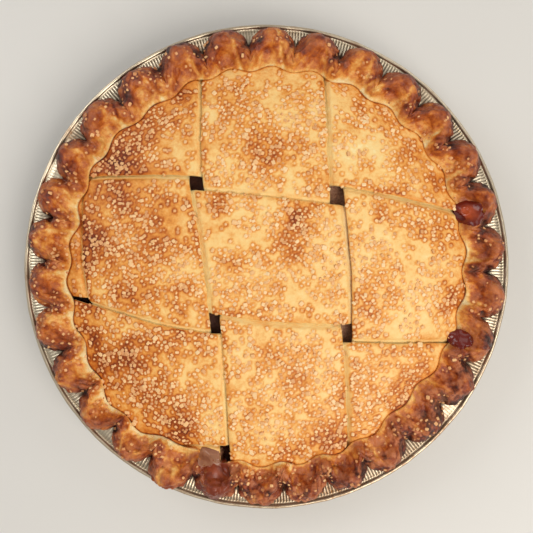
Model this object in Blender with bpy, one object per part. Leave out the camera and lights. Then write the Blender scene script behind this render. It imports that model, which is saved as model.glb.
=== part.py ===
"""Lattice-topped apple pie baked in its shallow foil pan.

Units are metres and +Z is up. The origin is the centre of the pan's base, on the surface the pan
stands on. The pan holds a crust shell (a lining with a pinched, fluted rim), the filling, six woven
lattice strips tucked under the rim, and the syrup that bubbled out over the rim.
"""

import math
import random

import bmesh
import bpy
import numpy as np
from mathutils import Matrix, Vector
from mathutils.bvhtree import BVHTree

# Fit and finish
CLEARANCE = 0.0003
MERGE = 0.000001
SMOOTH_ANGLE = math.radians(40)

# Foil pan, turned about Z
PAN_SEGMENTS = 72
FOIL = 0.00045
BASE_RADIUS = 0.0860
CORNER_MID = (0.0896, 0.0009)
WALL_FOOT = (0.0920, 0.0030)
WALL_TOP = (0.1104, 0.0284)
FLANGE_INNER = 0.1116
FLANGE_Z = 0.0299
BEAD_RADIUS = 0.0012
BEAD_CENTRE = (0.1208, 0.0302)
BEAD_START = math.radians(195)
BEAD_SWEEP = math.radians(338)
BEAD_POINTS = 8

# Fluted rim of the crust shell
LOBES = 30
LOBE_STEPS = 8
COARSE_STEP = 4
FIRST_LOBE = math.radians(4.5)
LOBE_PITCH = math.tau / LOBES
# Each drift is (angle, spread, how far the lobes there are pushed round)
LOBE_DRIFTS = (
    (math.radians(146), math.radians(14), math.radians(3.2)),
    (math.radians(303), math.radians(16), math.radians(-2.3)),
)
# Each wander is (angle, spread, how far the seam there runs outward)
SEAM_WANDERS = (
    (math.radians(226), math.radians(14), 0.0045),
    (math.radians(317), math.radians(12), -0.0030),
    (math.radians(125), math.radians(9), -0.0022),
    (math.radians(167), math.radians(8), -0.0022),
)
SEAM_RADIUS = 0.0983
SEAM_WAVE = 0.0015
TIP_RADIUS = 0.1189
TIP_SCATTER = 0.0006
LONG_LOBE = 20
LONG_LOBE_TIP = 0.1217
NOTCH_RADIUS = 0.1080
NOTCH_SHARPNESS = 0.97
TIP_Z = 0.0336
TIP_WAVE = 0.0008
CREST_BACK = 0.0082
CREST_BACK_WAVE = 0.0011
CREST_Z = 0.0416
CREST_WAVE = 0.0012
CREST_SCATTER = 0.0006
RIM_UNDER_Z = FLANGE_Z + FOIL + CLEARANCE
UNDERCUT_Z = 0.0011
UNDERCUT_IN = 0.0009
SOLE_IN = 0.0026
SOLE_LEAST_RADIUS = 0.1094
# Shares of the way from crest to tip, and of the fall made there at mid depth and its swing
SHOULDER_SHARE = 0.6
SHOULDER_HEIGHT = 0.625
SHOULDER_SWING = 0.175
# The inner face rises by this power of the way out: hollow in a lobe, full on a knuckle
INNER_POWER = 1.30
INNER_SWING = 0.55
RIM_SEED = 11

# Recess under the lip, where the strips end
REBATE_RADIUS = 0.1010
REBATE_WANDER = 1.1

# Lining of the crust shell
LINING = 0.0040
LINING_FOOT_IN = 0.0008
LINING_CORNER_STEP = 0.0010
LINING_FOOT_Z = 0.0040
LINING_TOP = (0.1091, 0.03055)
WALL_REST_Z = 0.0265
LEDGE_INNER = 0.0925
LINING_BEND_Z = 0.0120
LINING_FLOOR_RADIUS = 0.0870

# Dome of the lattice
DOME_RADIUS = 0.0990
DOME_EDGE_Z = 0.0346
DOME_RISE = 0.0120
DOME_POWER = 3.2
DOME_ROUND = 0.8
DOME_LIMIT = 0.985
SAG_START = 0.45
LAYER_SAG = 0.0012
LEDGE_SAG = 0.0014

# Lattice strips: each edge is five offsets across, at these stations along the strip
STRIP = 0.0032
STATIONS = (-0.095, -0.040, 0.0, 0.040, 0.095)
BEYOND = 0.1030
V1_LEFT = (-0.076, -0.082, -0.090, -0.091, -0.095)
V1_RIGHT = (-0.0228, -0.0263, -0.0305, -0.0372, -0.0450)
V2_LEFT = (-0.0178, -0.0210, -0.0255, -0.0306, -0.0320)
V2_RIGHT = (0.0406, 0.0370, 0.0332, 0.0303, 0.0283)
V3_LEFT = (0.0430, 0.0416, 0.0409, 0.0368, 0.0335)
V3_RIGHT = (BEYOND,) * 5
H1_HIGH = (BEYOND,) * 5
H1_LOW = (0.0450, 0.0440, 0.0412, 0.0382, 0.0275)
H2_HIGH = (0.0380, 0.0372, 0.0336, 0.0292, 0.0240)
H2_LOW = (-0.0148, -0.0208, -0.0262, -0.0279, -0.0270)
H3_HIGH = (-0.0165, -0.0307, -0.0342, -0.0368, -0.0383)
H3_LOW = (-BEYOND, -0.0886, -0.0910, -BEYOND, -BEYOND)
END_ROWS = (0.0, 0.27, 0.50, 0.70, 0.87, 1.0)
# Each gap row is (share of the gap crossed, share of the height change made)
GAP_ROWS = ((0.22, 0.0), (0.5, 0.5), (0.78, 1.0))
MIDDLE_ROWS = (1 / 3, 2 / 3)
EVEN_COLUMNS = (0.0, 0.2, 0.4, 0.6, 0.8, 1.0)
OUTWARD_COLUMNS = END_ROWS
INWARD_COLUMNS = tuple(1 - share for share in reversed(END_ROWS))
TRIM_LOW = 0.015
TRIM_HIGH = 0.060

# Filling
FILLING_SEGMENTS = 40
FILLING_RADIUS = 0.0920
FILLING_GAP = 0.0008
FILLING_RINGS = (0.80, 0.55, 0.28)

# Sugar crystals that show from a step away
SUGAR_SEED = 7
SUGAR_TRIES = 6000
SUGAR_SPACING = 0.0150
SUGAR_LARGEST = 0.0027
SUGAR_SMALLEST = 0.0021
SUGAR_EDGE = 0.0030
SUGAR_SINK = 0.15
SUGAR_TAPER = 0.82
SUGAR_STRETCH = (0.95, 1.12)
RIM_SUGAR_RADIUS = 0.1030
RIM_SUGAR_TURN = 0.02
RIM_SUGAR_SHIFT = 0.0006

# Syrup pools: angle, distance from the centre, half length out, half width round, half depth
JUICE_RIGHT = (math.radians(14.9), 0.1042, 0.0064, 0.0066, 0.0060)
JUICE_LOWER_RIGHT = (math.radians(339.4), 0.1022, 0.0062, 0.0048, 0.0048)
JUICE_BOTTOM = (math.radians(257.6), 0.1085, 0.0085, 0.0046, 0.0040)
JUICE_DIVISIONS = 2
JUICE_KEEP_OFF = 0.0095


def srgb(red, green, blue):
    """Linear colour from the 0 to 255 values seen on a screen."""
    channels = [value / 255 for value in (red, green, blue)]
    return [c / 12.92 if c <= 0.04045 else ((c + 0.055) / 1.055) ** 2.4 for c in channels]


def material(name, colour, roughness, metallic=0.0):
    made = bpy.data.materials.new(name)
    made.use_nodes = True
    shader = made.node_tree.nodes["Principled BSDF"]
    shader.inputs["Base Color"].default_value = (*colour, 1.0)
    shader.inputs["Roughness"].default_value = roughness
    shader.inputs["Metallic"].default_value = metallic
    return made


def add_object(name, mesh):
    piece = bpy.data.objects.new(name, mesh)
    bpy.context.scene.collection.objects.link(piece)
    return piece


def finish_mesh(name, mesh_builder):
    """Close a bmesh into an object with outward normals and smooth round faces."""
    bmesh.ops.remove_doubles(mesh_builder, verts=mesh_builder.verts, dist=MERGE)
    bmesh.ops.recalc_face_normals(mesh_builder, faces=mesh_builder.faces)
    mesh = bpy.data.meshes.new(name)
    mesh_builder.to_mesh(mesh)
    mesh_builder.free()
    return add_object(name, mesh)


def dress(piece, finish):
    piece.data.materials.clear()
    piece.data.materials.append(finish)
    piece.data.shade_smooth()
    piece.data.set_sharp_from_angle(angle=SMOOTH_ANGLE)


def bake_modifiers(piece):
    """Replace a piece's mesh with what its modifiers make of it."""
    graph = bpy.context.evaluated_depsgraph_get()
    mesh = bpy.data.meshes.new_from_object(piece.evaluated_get(graph))
    piece.modifiers.clear()
    piece.data = mesh


def boolean(piece, operation, other=None, group=None):
    step = piece.modifiers.new(operation.lower(), "BOOLEAN")
    step.operation = operation
    step.solver = "EXACT"
    if group is None:
        step.object = other
    else:
        step.operand_type = "COLLECTION"
        step.collection = group
    bake_modifiers(piece)


def discard(piece):
    mesh = piece.data
    bpy.data.objects.remove(piece)
    bpy.data.meshes.remove(mesh)


def keep_largest_body(piece):
    """Drop the loose scraps that a cut can leave."""
    builder = bmesh.new()
    builder.from_mesh(piece.data)
    unseen = set(builder.verts)
    bodies = []
    while unseen:
        stack = [unseen.pop()]
        body = set(stack)
        while stack:
            vert = stack.pop()
            for edge in vert.link_edges:
                other = edge.other_vert(vert)
                if other in unseen:
                    unseen.discard(other)
                    body.add(other)
                    stack.append(other)
        bodies.append(body)
    bodies.sort(key=len)
    scraps = [vert for body in bodies[:-1] for vert in body]
    bmesh.ops.delete(builder, geom=scraps, context="VERTS")
    builder.to_mesh(piece.data)
    builder.free()


def bumps(angle, table):
    """Sum of smooth bumps round the circle, each (angle, spread, height)."""
    angle = np.asarray(angle, dtype=float)
    total = np.zeros_like(angle)
    for centre, spread, height in table:
        away = (angle - centre + math.pi) % math.tau - math.pi
        total += height * np.exp(-((away / spread) ** 2))
    return total


def rim_notches():
    """Angles of the notches between lobes, all the way round, the first one met again at the end."""
    evenly = FIRST_LOBE + LOBE_PITCH * np.arange(-1, LOBES + 1)
    centres = evenly + bumps(evenly, LOBE_DRIFTS)
    return (centres[:-1] + centres[1:]) / 2


def rim_scatter():
    """Uneven reach and height of the hand-pinched lobes."""
    draw = random.Random(RIM_SEED)
    tips = [TIP_RADIUS + draw.uniform(-1, 1) * TIP_SCATTER for _ in range(LOBES)]
    tips[LONG_LOBE] = LONG_LOBE_TIP
    crests = [draw.uniform(-1, 1) * CREST_SCATTER for _ in range(LOBES)]
    return np.array(tips), np.array(crests)


def dome_share(x, y):
    """Distance from the centre as a share of the lattice's own radius there."""
    angle = np.arctan2(y, x)
    reach = DOME_RADIUS + np.maximum(0, bumps(angle, SEAM_WANDERS))
    return np.hypot(x, y) / reach


def dome_top(x, y):
    """Height of the lattice's upper face: a pillow with steep shoulders."""
    share = dome_share(x, y)
    inside = np.minimum(share, DOME_LIMIT)
    rise = (1 - inside ** DOME_POWER) ** DOME_ROUND
    edge_rest = 1 - DOME_LIMIT ** DOME_POWER
    slope = DOME_ROUND * edge_rest ** (DOME_ROUND - 1) * DOME_POWER * DOME_LIMIT ** (DOME_POWER - 1)
    return DOME_EDGE_Z + DOME_RISE * (rise - slope * (share - inside))


def edge_ease(x, y):
    """0 over the flat of the dome, 1 at the rim."""
    t = np.clip((dome_share(x, y) - SAG_START) / (1 - SAG_START), 0, 1)
    return t * t * (3 - 2 * t)


def under_drop(x, y):
    """How far a strip lies lower where it passes under another."""
    return STRIP + CLEARANCE + LAYER_SAG * edge_ease(x, y)


def under_floor(x, y):
    """Height just below the lower layer of strips."""
    return dome_top(x, y) - STRIP - under_drop(x, y) - LEDGE_SAG * edge_ease(x, y)


def pan_inner_radius(z):
    """Radius of the pan's inner face on its sloping wall."""
    slope = (WALL_TOP[0] - WALL_FOOT[0]) / (WALL_TOP[1] - WALL_FOOT[1])
    return WALL_FOOT[0] + (z - WALL_FOOT[1]) * slope - FOIL


def pan_profile():
    """Closed half section of the pan: its outer face out to the rolled bead, its inner face back."""
    outer = [(0, 0), (BASE_RADIUS, 0), CORNER_MID, WALL_FOOT, WALL_TOP, (FLANGE_INNER, FLANGE_Z)]
    bead = []
    for step in range(BEAD_POINTS):
        turn = BEAD_START + BEAD_SWEEP * step / (BEAD_POINTS - 1)
        r = BEAD_CENTRE[0] + BEAD_RADIUS * math.cos(turn)
        z = BEAD_CENTRE[1] + BEAD_RADIUS * math.sin(turn)
        bead.append((r, z))
    half = FOIL / 2
    inner = [
        (FLANGE_INNER - half, FLANGE_Z + FOIL),
        (WALL_TOP[0] - FOIL, WALL_TOP[1] + half),
        (WALL_FOOT[0] - FOIL, WALL_FOOT[1] + half),
        (CORNER_MID[0] - half, CORNER_MID[1] + FOIL),
        (BASE_RADIUS - half, FOIL),
        (0, FOIL),
    ]
    return outer + bead + inner


def build_pan():
    builder = bmesh.new()
    points = [builder.verts.new((r, 0, z)) for r, z in pan_profile()]
    section = [builder.edges.new(pair) for pair in zip(points, points[1:])]
    bmesh.ops.spin(
        builder,
        geom=points + section,
        cent=(0, 0, 0),
        axis=(0, 0, 1),
        dvec=(0, 0, 0),
        angle=math.tau,
        steps=PAN_SEGMENTS,
        use_merge=True,
    )
    return finish_mesh("foil_pan", builder)


def add_ring(builder, angles, radius, height):
    radius = np.broadcast_to(radius, angles.shape)
    height = np.broadcast_to(height, angles.shape)
    return [
        builder.verts.new((r * math.cos(a), r * math.sin(a), z))
        for a, r, z in zip(angles, radius, height)
    ]


def stitch(builder, few, many):
    """Join two rings by quads, or by fans of triangles where one ring is a multiple of the other."""
    ratio = len(many) // len(few)
    middle = ratio // 2
    for i, start in enumerate(few):
        end = few[(i + 1) % len(few)]
        run = [many[(i * ratio + j) % len(many)] for j in range(ratio + 1)]
        if ratio == 1:
            builder.faces.new((start, run[0], run[1], end))
            continue
        for j in range(ratio):
            apex = start if j < middle else end
            builder.faces.new((apex, run[j], run[j + 1]))
        builder.faces.new((start, run[middle], end))


def cap(builder, ring, height):
    """Close a ring with a fan of triangles round a middle point."""
    middle = builder.verts.new((0, 0, height))
    for i, vert in enumerate(ring):
        builder.faces.new((middle, vert, ring[(i + 1) % len(ring)]))


def rim_angles():
    notches = rim_notches()
    lobe = np.repeat(np.arange(LOBES), LOBE_STEPS)
    along = np.tile(np.arange(LOBE_STEPS) / LOBE_STEPS, LOBES)
    return notches[lobe] + (notches[lobe + 1] - notches[lobe]) * along, lobe, along


def rebate_radius(angles):
    """Radius of the recess under the lip, where the strips end."""
    return REBATE_RADIUS + REBATE_WANDER * np.maximum(0, bumps(angles, SEAM_WANDERS))


def rim_sections():
    """Rings of the fluted rim, from the foil under it, over the crest, to the lip on the strips."""
    angles, lobe, along = rim_angles()
    tips, crests = rim_scatter()
    off_middle = np.abs(2 * along - 1)
    wave = np.cos(math.pi * off_middle)
    wander = bumps(angles, SEAM_WANDERS)
    reach = np.sqrt(1 - (NOTCH_SHARPNESS * off_middle) ** 2)
    tip_r = NOTCH_RADIUS + (tips[lobe] - NOTCH_RADIUS) * reach
    tip_z = TIP_Z + TIP_WAVE * wave
    crest_r = tip_r - CREST_BACK + CREST_BACK_WAVE * wave
    crest_z = CREST_Z + CREST_WAVE * wave + crests[lobe] * reach
    seam_r = SEAM_RADIUS + SEAM_WAVE * wave + wander
    lip_z = dome_top(seam_r * np.cos(angles), seam_r * np.sin(angles)) + CLEARANCE
    shoulder_r = crest_r + (tip_r - crest_r) * SHOULDER_SHARE
    shoulder_z = tip_z + (crest_z - tip_z) * (SHOULDER_HEIGHT + SHOULDER_SWING * wave)
    rings = [
        (np.maximum(SOLE_LEAST_RADIUS, tip_r - SOLE_IN), RIM_UNDER_Z),
        (np.maximum(SOLE_LEAST_RADIUS + CLEARANCE, tip_r - UNDERCUT_IN), RIM_UNDER_Z + UNDERCUT_Z),
        (tip_r, tip_z),
        (shoulder_r, shoulder_z),
        (crest_r, crest_z),
    ]
    for share in (2 / 3, 1 / 3):
        rise = share ** (INNER_POWER + INNER_SWING * wave)
        rings.append((seam_r + (crest_r - seam_r) * share, lip_z + (crest_z - lip_z) * rise))
    rings.append((seam_r, lip_z))
    return angles, rings


def build_crust():
    """The crust shell: lining of the pan, recess for the strips and the fluted rim, in one body."""
    builder = bmesh.new()
    angles, sections = rim_sections()
    coarse = angles[::COARSE_STEP]
    outside = [
        (BASE_RADIUS - LINING_FOOT_IN, FOIL + CLEARANCE),
        (CORNER_MID[0] - LINING_CORNER_STEP, CORNER_MID[1] + LINING_CORNER_STEP),
        (pan_inner_radius(LINING_FOOT_Z) - CLEARANCE, LINING_FOOT_Z),
        (pan_inner_radius(WALL_REST_Z) - CLEARANCE, WALL_REST_Z),
        LINING_TOP,
    ]
    fine = [add_ring(builder, angles, r, z) for r, z in sections]
    lower = [add_ring(builder, coarse, r, z) for r, z in outside]
    rebate = rebate_radius(coarse)
    rebate_xy = (rebate * np.cos(coarse), rebate * np.sin(coarse))
    ledge_xy = (LEDGE_INNER * np.cos(coarse), LEDGE_INNER * np.sin(coarse))
    recess = [
        add_ring(builder, coarse, rebate, dome_top(*rebate_xy) + 2 * CLEARANCE),
        add_ring(builder, coarse, rebate, under_floor(*rebate_xy) - CLEARANCE),
        add_ring(builder, coarse, LEDGE_INNER, under_floor(*ledge_xy) - CLEARANCE),
        add_ring(builder, coarse, LEDGE_INNER, LINING_BEND_Z),
        add_ring(builder, coarse, LINING_FLOOR_RADIUS, FOIL + CLEARANCE + LINING),
    ]
    cap(builder, lower[0], FOIL + CLEARANCE)
    for inner, outer in zip(lower, lower[1:]):
        stitch(builder, inner, outer)
    stitch(builder, lower[-1], fine[0])
    for inner, outer in zip(fine, fine[1:]):
        stitch(builder, inner, outer)
    stitch(builder, recess[0], fine[-1])
    for inner, outer in zip(recess, recess[1:]):
        stitch(builder, inner, outer)
    cap(builder, recess[-1], FOIL + CLEARANCE + LINING)
    return finish_mesh("crust_shell", builder)


def build_filling():
    """The apple filling, level with the underside of the lattice."""
    builder = bmesh.new()
    angles = np.arange(FILLING_SEGMENTS) * math.tau / FILLING_SEGMENTS
    floor = FOIL + LINING + 2 * CLEARANCE
    low = add_ring(builder, angles, LINING_FLOOR_RADIUS - 2 * CLEARANCE, floor)
    bend = add_ring(builder, angles, FILLING_RADIUS, LINING_BEND_Z)
    rings = [low, bend]
    for share in (1.0, *FILLING_RINGS):
        r = FILLING_RADIUS * share
        top = under_floor(r * np.cos(angles), r * np.sin(angles)) - FILLING_GAP
        rings.append(add_ring(builder, angles, r, top))
    cap(builder, low, floor)
    for inner, outer in zip(rings, rings[1:]):
        stitch(builder, inner, outer)
    cap(builder, rings[-1], float(under_floor(0.0, 0.0)) - FILLING_GAP)
    return finish_mesh("filling", builder)


def edge_at(offsets, along):
    """Smooth curve through a strip edge's five offsets, read at any place along the strip."""
    knots = np.array(STATIONS)
    values = np.array(offsets)
    slopes = np.gradient(values, knots)
    along = np.clip(along, knots[0], knots[-1])
    i = np.clip(np.searchsorted(knots, along) - 1, 0, len(knots) - 2)
    width = knots[i + 1] - knots[i]
    t = (along - knots[i]) / width
    start = (1 + 2 * t) * (1 - t) ** 2 * values[i] + t * (1 - t) ** 2 * width * slopes[i]
    end = t * t * (3 - 2 * t) * values[i + 1] - t * t * (1 - t) * width * slopes[i + 1]
    return start + end


def strip_rows(crossings):
    """Rows along a strip as (edge before, edge after, share between them, height: 1 over, 0 under).

    The strip changes height only inside the gaps between the strips that cross it.
    """
    over_first, (first_low, second_high, second_low, third_high) = crossings
    start = (-BEYOND,) * 5
    end = (BEYOND,) * 5
    rows = [(start, first_low, 1 - share, over_first) for share in reversed(END_ROWS[1:])]
    for share, turned in GAP_ROWS:
        rows.append((first_low, second_high, share, over_first + (1 - 2 * over_first) * turned))
    rows += [(second_high, second_low, share, 1 - over_first) for share in MIDDLE_ROWS]
    for share, turned in GAP_ROWS:
        rows.append((second_low, third_high, share, 1 - over_first + (2 * over_first - 1) * turned))
    rows += [(third_high, end, share, over_first) for share in END_ROWS[1:]]
    return rows


def strip_point(edges, share, row, upright):
    """Where a column of a strip meets a row line that follows the edges of the crossing strips."""
    before, after, between, _ = row
    along = 0.0
    for _ in range(6):
        across = edge_at(edges[0], along) * (1 - share) + edge_at(edges[1], along) * share
        along = edge_at(before, across) * (1 - between) + edge_at(after, across) * between
    return (float(across), float(along)) if upright else (float(along), float(across))


def build_strip(name, edges, columns, crossings, upright):
    """One pastry strip, a slab that follows the dome and passes over and under the others."""
    builder = bmesh.new()
    grid = []
    for row in strip_rows(crossings):
        line = []
        for share in columns:
            x, y = strip_point(edges, share, row, upright)
            top = float(dome_top(x, y) - (1 - row[3]) * under_drop(x, y))
            line.append((builder.verts.new((x, y, top)), builder.verts.new((x, y, top - STRIP))))
        grid.append(line)
    for near, far in zip(grid, grid[1:]):
        for column in range(len(columns) - 1):
            for face in (0, 1):
                corner = (near[column], near[column + 1], far[column + 1], far[column])
                builder.faces.new([pair[face] for pair in corner])
        for column in (0, -1):
            builder.faces.new((*near[column], *reversed(far[column])))
    for line in (grid[0], grid[-1]):
        for a, b in zip(line, line[1:]):
            builder.faces.new((a[0], b[0], b[1], a[1]))
    return finish_mesh(name, builder)


def build_trim():
    """Prism that the strips are trimmed by, just inside the recess under the lip."""
    builder = bmesh.new()
    coarse = rim_angles()[0][::COARSE_STEP]
    radius = rebate_radius(coarse) - CLEARANCE
    low = add_ring(builder, coarse, radius, TRIM_LOW)
    high = add_ring(builder, coarse, radius, TRIM_HIGH)
    stitch(builder, low, high)
    cap(builder, low, TRIM_LOW)
    cap(builder, high, TRIM_HIGH)
    return finish_mesh("trim_prism", builder)


def build_lattice():
    """Three upright and three level strips, woven and trimmed to the recess."""
    level_lines = (H3_HIGH, H2_LOW, H2_HIGH, H1_LOW)
    upright_lines = (V1_RIGHT, V2_LEFT, V2_RIGHT, V3_LEFT)
    upright_strips = {
        "strip_v1": ((V1_LEFT, V1_RIGHT), INWARD_COLUMNS, 0),
        "strip_v2": ((V2_LEFT, V2_RIGHT), EVEN_COLUMNS, 1),
        "strip_v3": ((V3_LEFT, V3_RIGHT), OUTWARD_COLUMNS, 0),
    }
    level_strips = {
        "strip_h1": ((H1_LOW, H1_HIGH), OUTWARD_COLUMNS, 1),
        "strip_h2": ((H2_LOW, H2_HIGH), EVEN_COLUMNS, 0),
        "strip_h3": ((H3_LOW, H3_HIGH), INWARD_COLUMNS, 1),
    }
    trim = build_trim()
    strips = []
    for name, (edges, columns, over_first) in upright_strips.items():
        strips.append(build_strip(name, edges, columns, (over_first, level_lines), True))
    for name, (edges, columns, over_first) in level_strips.items():
        strips.append(build_strip(name, edges, columns, (over_first, upright_lines), False))
    for strip in strips:
        boolean(strip, "INTERSECT", trim)
        keep_largest_body(strip)
    discard(trim)
    return strips


def surface_tree(piece):
    builder = bmesh.new()
    builder.from_mesh(piece.data)
    tree = BVHTree.FromBMesh(builder)
    builder.free()
    return tree


def height_on(tree, x, y):
    """Height and normal of a surface seen from above, or None beside it."""
    spot, normal, _, _ = tree.ray_cast(Vector((x, y, 1.0)), Vector((0, 0, -1)))
    return None if spot is None else (spot.z, normal)


def add_crystal(group, draw, x, y, height, normal, size):
    """A blocky sugar crystal half sunk in the crust."""
    builder = bmesh.new()
    bmesh.ops.create_cube(builder, size=size)
    for vert in builder.verts:
        if vert.co.z > 0:
            vert.co.x *= SUGAR_TAPER
            vert.co.y *= SUGAR_TAPER
        vert.co.x *= draw.uniform(*SUGAR_STRETCH)
    turn = Matrix.Rotation(draw.uniform(0, math.tau), 4, "Z")
    tilt = normal.to_track_quat("Z", "Y").to_matrix().to_4x4()
    place = Matrix.Translation(Vector((x, y, height)) - normal * size * SUGAR_SINK)
    builder.transform(place @ tilt @ turn)
    crystal = finish_mesh("crystal", builder)
    bpy.context.scene.collection.objects.unlink(crystal)
    group.objects.link(crystal)


def scatter_sugar(strips):
    """Spots for the largest crystals, evenly apart, each on the strip that lies on top there."""
    draw = random.Random(SUGAR_SEED)
    trees = [surface_tree(strip) for strip in strips]
    spots = []
    for _ in range(SUGAR_TRIES):
        r = (SEAM_RADIUS - 2 * SUGAR_EDGE) * math.sqrt(draw.random())
        turn = draw.uniform(0, math.tau)
        x = r * math.cos(turn)
        y = r * math.sin(turn)
        if any(math.hypot(x - s[1], y - s[2]) < SUGAR_SPACING for s in spots):
            continue
        around = [(x, y)]
        for quarter in range(4):
            side = quarter * math.pi / 2
            around.append((x + SUGAR_EDGE * math.cos(side), y + SUGAR_EDGE * math.sin(side)))
        tops = [top_strip(trees, *spot) for spot in around]
        if tops[0] is None or len(set(tops)) > 1:
            continue
        spots.append((tops[0], x, y))
    return trees, spots


def top_strip(trees, x, y):
    """Index of the strip that lies on top at a point, if it lies at its over height."""
    best = None
    level = float(dome_top(x, y)) - STRIP / 2
    for index, tree in enumerate(trees):
        hit = height_on(tree, x, y)
        if hit is not None and hit[0] > level:
            best = index
            level = hit[0]
    return best


def sugar_strips(strips):
    trees, spots = scatter_sugar(strips)
    draw = random.Random(SUGAR_SEED + 1)
    groups = [bpy.data.collections.new(strip.name + "_sugar") for strip in strips]
    step = (SUGAR_LARGEST - SUGAR_SMALLEST) / max(1, len(spots) - 1)
    for rank, (index, x, y) in enumerate(spots):
        height, normal = height_on(trees[index], x, y)
        size = SUGAR_LARGEST - rank * step
        add_crystal(groups[index], draw, x, y, height, normal, size)
    for strip, group in zip(strips, groups):
        fuse(strip, group)


def sugar_rim(crust, pools):
    """One large crystal on each inner knuckle of the rim that no syrup covers."""
    draw = random.Random(SUGAR_SEED + 2)
    tree = surface_tree(crust)
    group = bpy.data.collections.new("rim_sugar")
    for notch in rim_notches()[:-1]:
        turn = notch + draw.uniform(-RIM_SUGAR_TURN, RIM_SUGAR_TURN)
        r = RIM_SUGAR_RADIUS + draw.uniform(-RIM_SUGAR_SHIFT, RIM_SUGAR_SHIFT)
        x = r * math.cos(turn)
        y = r * math.sin(turn)
        if any(math.dist((x, y), pool_centre(pool)) < JUICE_KEEP_OFF for pool in pools):
            continue
        height, normal = height_on(tree, x, y)
        add_crystal(group, draw, x, y, height, normal, draw.uniform(SUGAR_SMALLEST, SUGAR_LARGEST))
    fuse(crust, group)


def fuse(piece, group):
    """Join a piece and all its crystals into one solid and clear the crystals away."""
    if group.objects:
        boolean(piece, "UNION", group=group)
        keep_largest_body(piece)
    for crystal in list(group.objects):
        discard(crystal)
    bpy.data.collections.remove(group)


def pool_centre(pool):
    turn, distance = pool[:2]
    return distance * math.cos(turn), distance * math.sin(turn)


def build_juice(name, pool, neighbours):
    """A thick pool of syrup lying on the rim, its underside cut to fit what it lies on."""
    turn, _, half_out, half_round, crown = pool
    x, y = pool_centre(pool)
    builder = bmesh.new()
    bmesh.ops.create_icosphere(builder, subdivisions=JUICE_DIVISIONS, radius=1.0)
    trees = [surface_tree(piece) for piece in neighbours]
    hits = [height_on(tree, x, y) for tree in trees]
    height = max(hit[0] for hit in hits if hit is not None)
    shape = Matrix.Diagonal((half_out, half_round, crown, 1.0))
    place = Matrix.Translation((x, y, height)) @ Matrix.Rotation(turn, 4, "Z")
    builder.transform(place @ shape)
    juice = finish_mesh(name, builder)
    for piece in neighbours:
        cutter = add_object("gap_" + piece.name, piece.data.copy())
        grow = cutter.modifiers.new("clearance", "DISPLACE")
        grow.mid_level = 0.0
        grow.strength = CLEARANCE
        bake_modifiers(cutter)
        boolean(juice, "DIFFERENCE", cutter)
        discard(cutter)
    keep_largest_body(juice)
    return juice


def clear_scene():
    for piece in list(bpy.data.objects):
        bpy.data.objects.remove(piece)


def main():
    clear_scene()
    foil = material("foil", srgb(205, 202, 196), 0.28, 1.0)
    rim_pastry = material("rim_pastry", srgb(176, 98, 44), 0.55)
    filling_fruit = material("filling_fruit", srgb(70, 34, 20), 0.30)
    pan = build_pan()
    crust = build_crust()
    filling = build_filling()
    strips = build_lattice()
    pools = {
        "juice_right": JUICE_RIGHT,
        "juice_lower_right": JUICE_LOWER_RIGHT,
        "juice_bottom": JUICE_BOTTOM,
    }
    sugar_strips(strips)
    sugar_rim(crust, pools.values())
    juices = [build_juice(name, pool, [crust, pan, *strips]) for name, pool in pools.items()]
    dress(pan, foil)
    dress(crust, rim_pastry)
    dress(filling, filling_fruit)
    for strip in strips:
        dress(strip, material(strip.name + "_pastry", srgb(226, 160, 86), 0.50))
    for juice in juices:
        dress(juice, material(juice.name + "_syrup", srgb(98, 24, 12), 0.12))


main()
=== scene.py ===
# %% [markdown]
# # An apple pie in its foil pan
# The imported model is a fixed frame: a foil pan, a crust shell with a fluted rim, a filling, six woven
# strips and three pools of syrup. Every visible piece below is built where its solid stands, in metres,
# with +Z up and the origin at the middle of the pan's base.

# %% Load the frame
import math
import random

import bmesh
import bpy
import numpy as np
from mathutils import Matrix, Vector
from mathutils.bvhtree import BVHTree


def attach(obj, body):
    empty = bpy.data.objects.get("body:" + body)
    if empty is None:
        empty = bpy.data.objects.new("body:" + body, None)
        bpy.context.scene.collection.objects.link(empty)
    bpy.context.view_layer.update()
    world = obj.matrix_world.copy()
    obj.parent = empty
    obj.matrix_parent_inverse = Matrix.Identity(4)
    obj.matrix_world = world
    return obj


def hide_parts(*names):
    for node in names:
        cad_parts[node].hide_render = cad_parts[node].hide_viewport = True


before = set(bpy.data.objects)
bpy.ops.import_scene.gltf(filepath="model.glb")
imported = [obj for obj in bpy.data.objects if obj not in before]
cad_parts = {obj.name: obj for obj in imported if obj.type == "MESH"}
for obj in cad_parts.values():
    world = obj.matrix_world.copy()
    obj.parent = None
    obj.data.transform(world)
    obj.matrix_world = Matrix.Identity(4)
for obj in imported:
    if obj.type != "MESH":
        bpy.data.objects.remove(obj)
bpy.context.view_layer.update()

print("frame nodes:", sorted(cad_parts))

# %% [markdown]
# ## The camera
# The pie was looked at from straight above. How fast the walls of the rim lean outward in the picture
# gives the distance, and the width of the pan then gives the lens. North of the picture is +Y.

# %% Camera
CAMERA_HEIGHT = 0.370
LENS = 45.56

camera_data = bpy.data.cameras.new("camera")
camera_data.lens = LENS
camera_data.clip_start = 0.01
camera = bpy.data.objects.new("camera", camera_data)
camera.location = (0, 0, CAMERA_HEIGHT)
bpy.context.scene.collection.objects.link(camera)
bpy.context.scene.camera = camera
print("camera at", tuple(camera.location))

# %% [markdown]
# ## Uneven surfaces
# Nothing baked is even. A noise gives every point in space a smooth value between -1 and 1: corners of
# a grid get a mixed-up number, and the points between them blend the eight corners around them. Adding
# it at several sizes gives big swells with small bumps on them. It is worked out here, and not by a
# texture, where it moves the mesh itself.

# %% Noise in numbers
BITS = 0xFFFFFFFF


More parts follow.
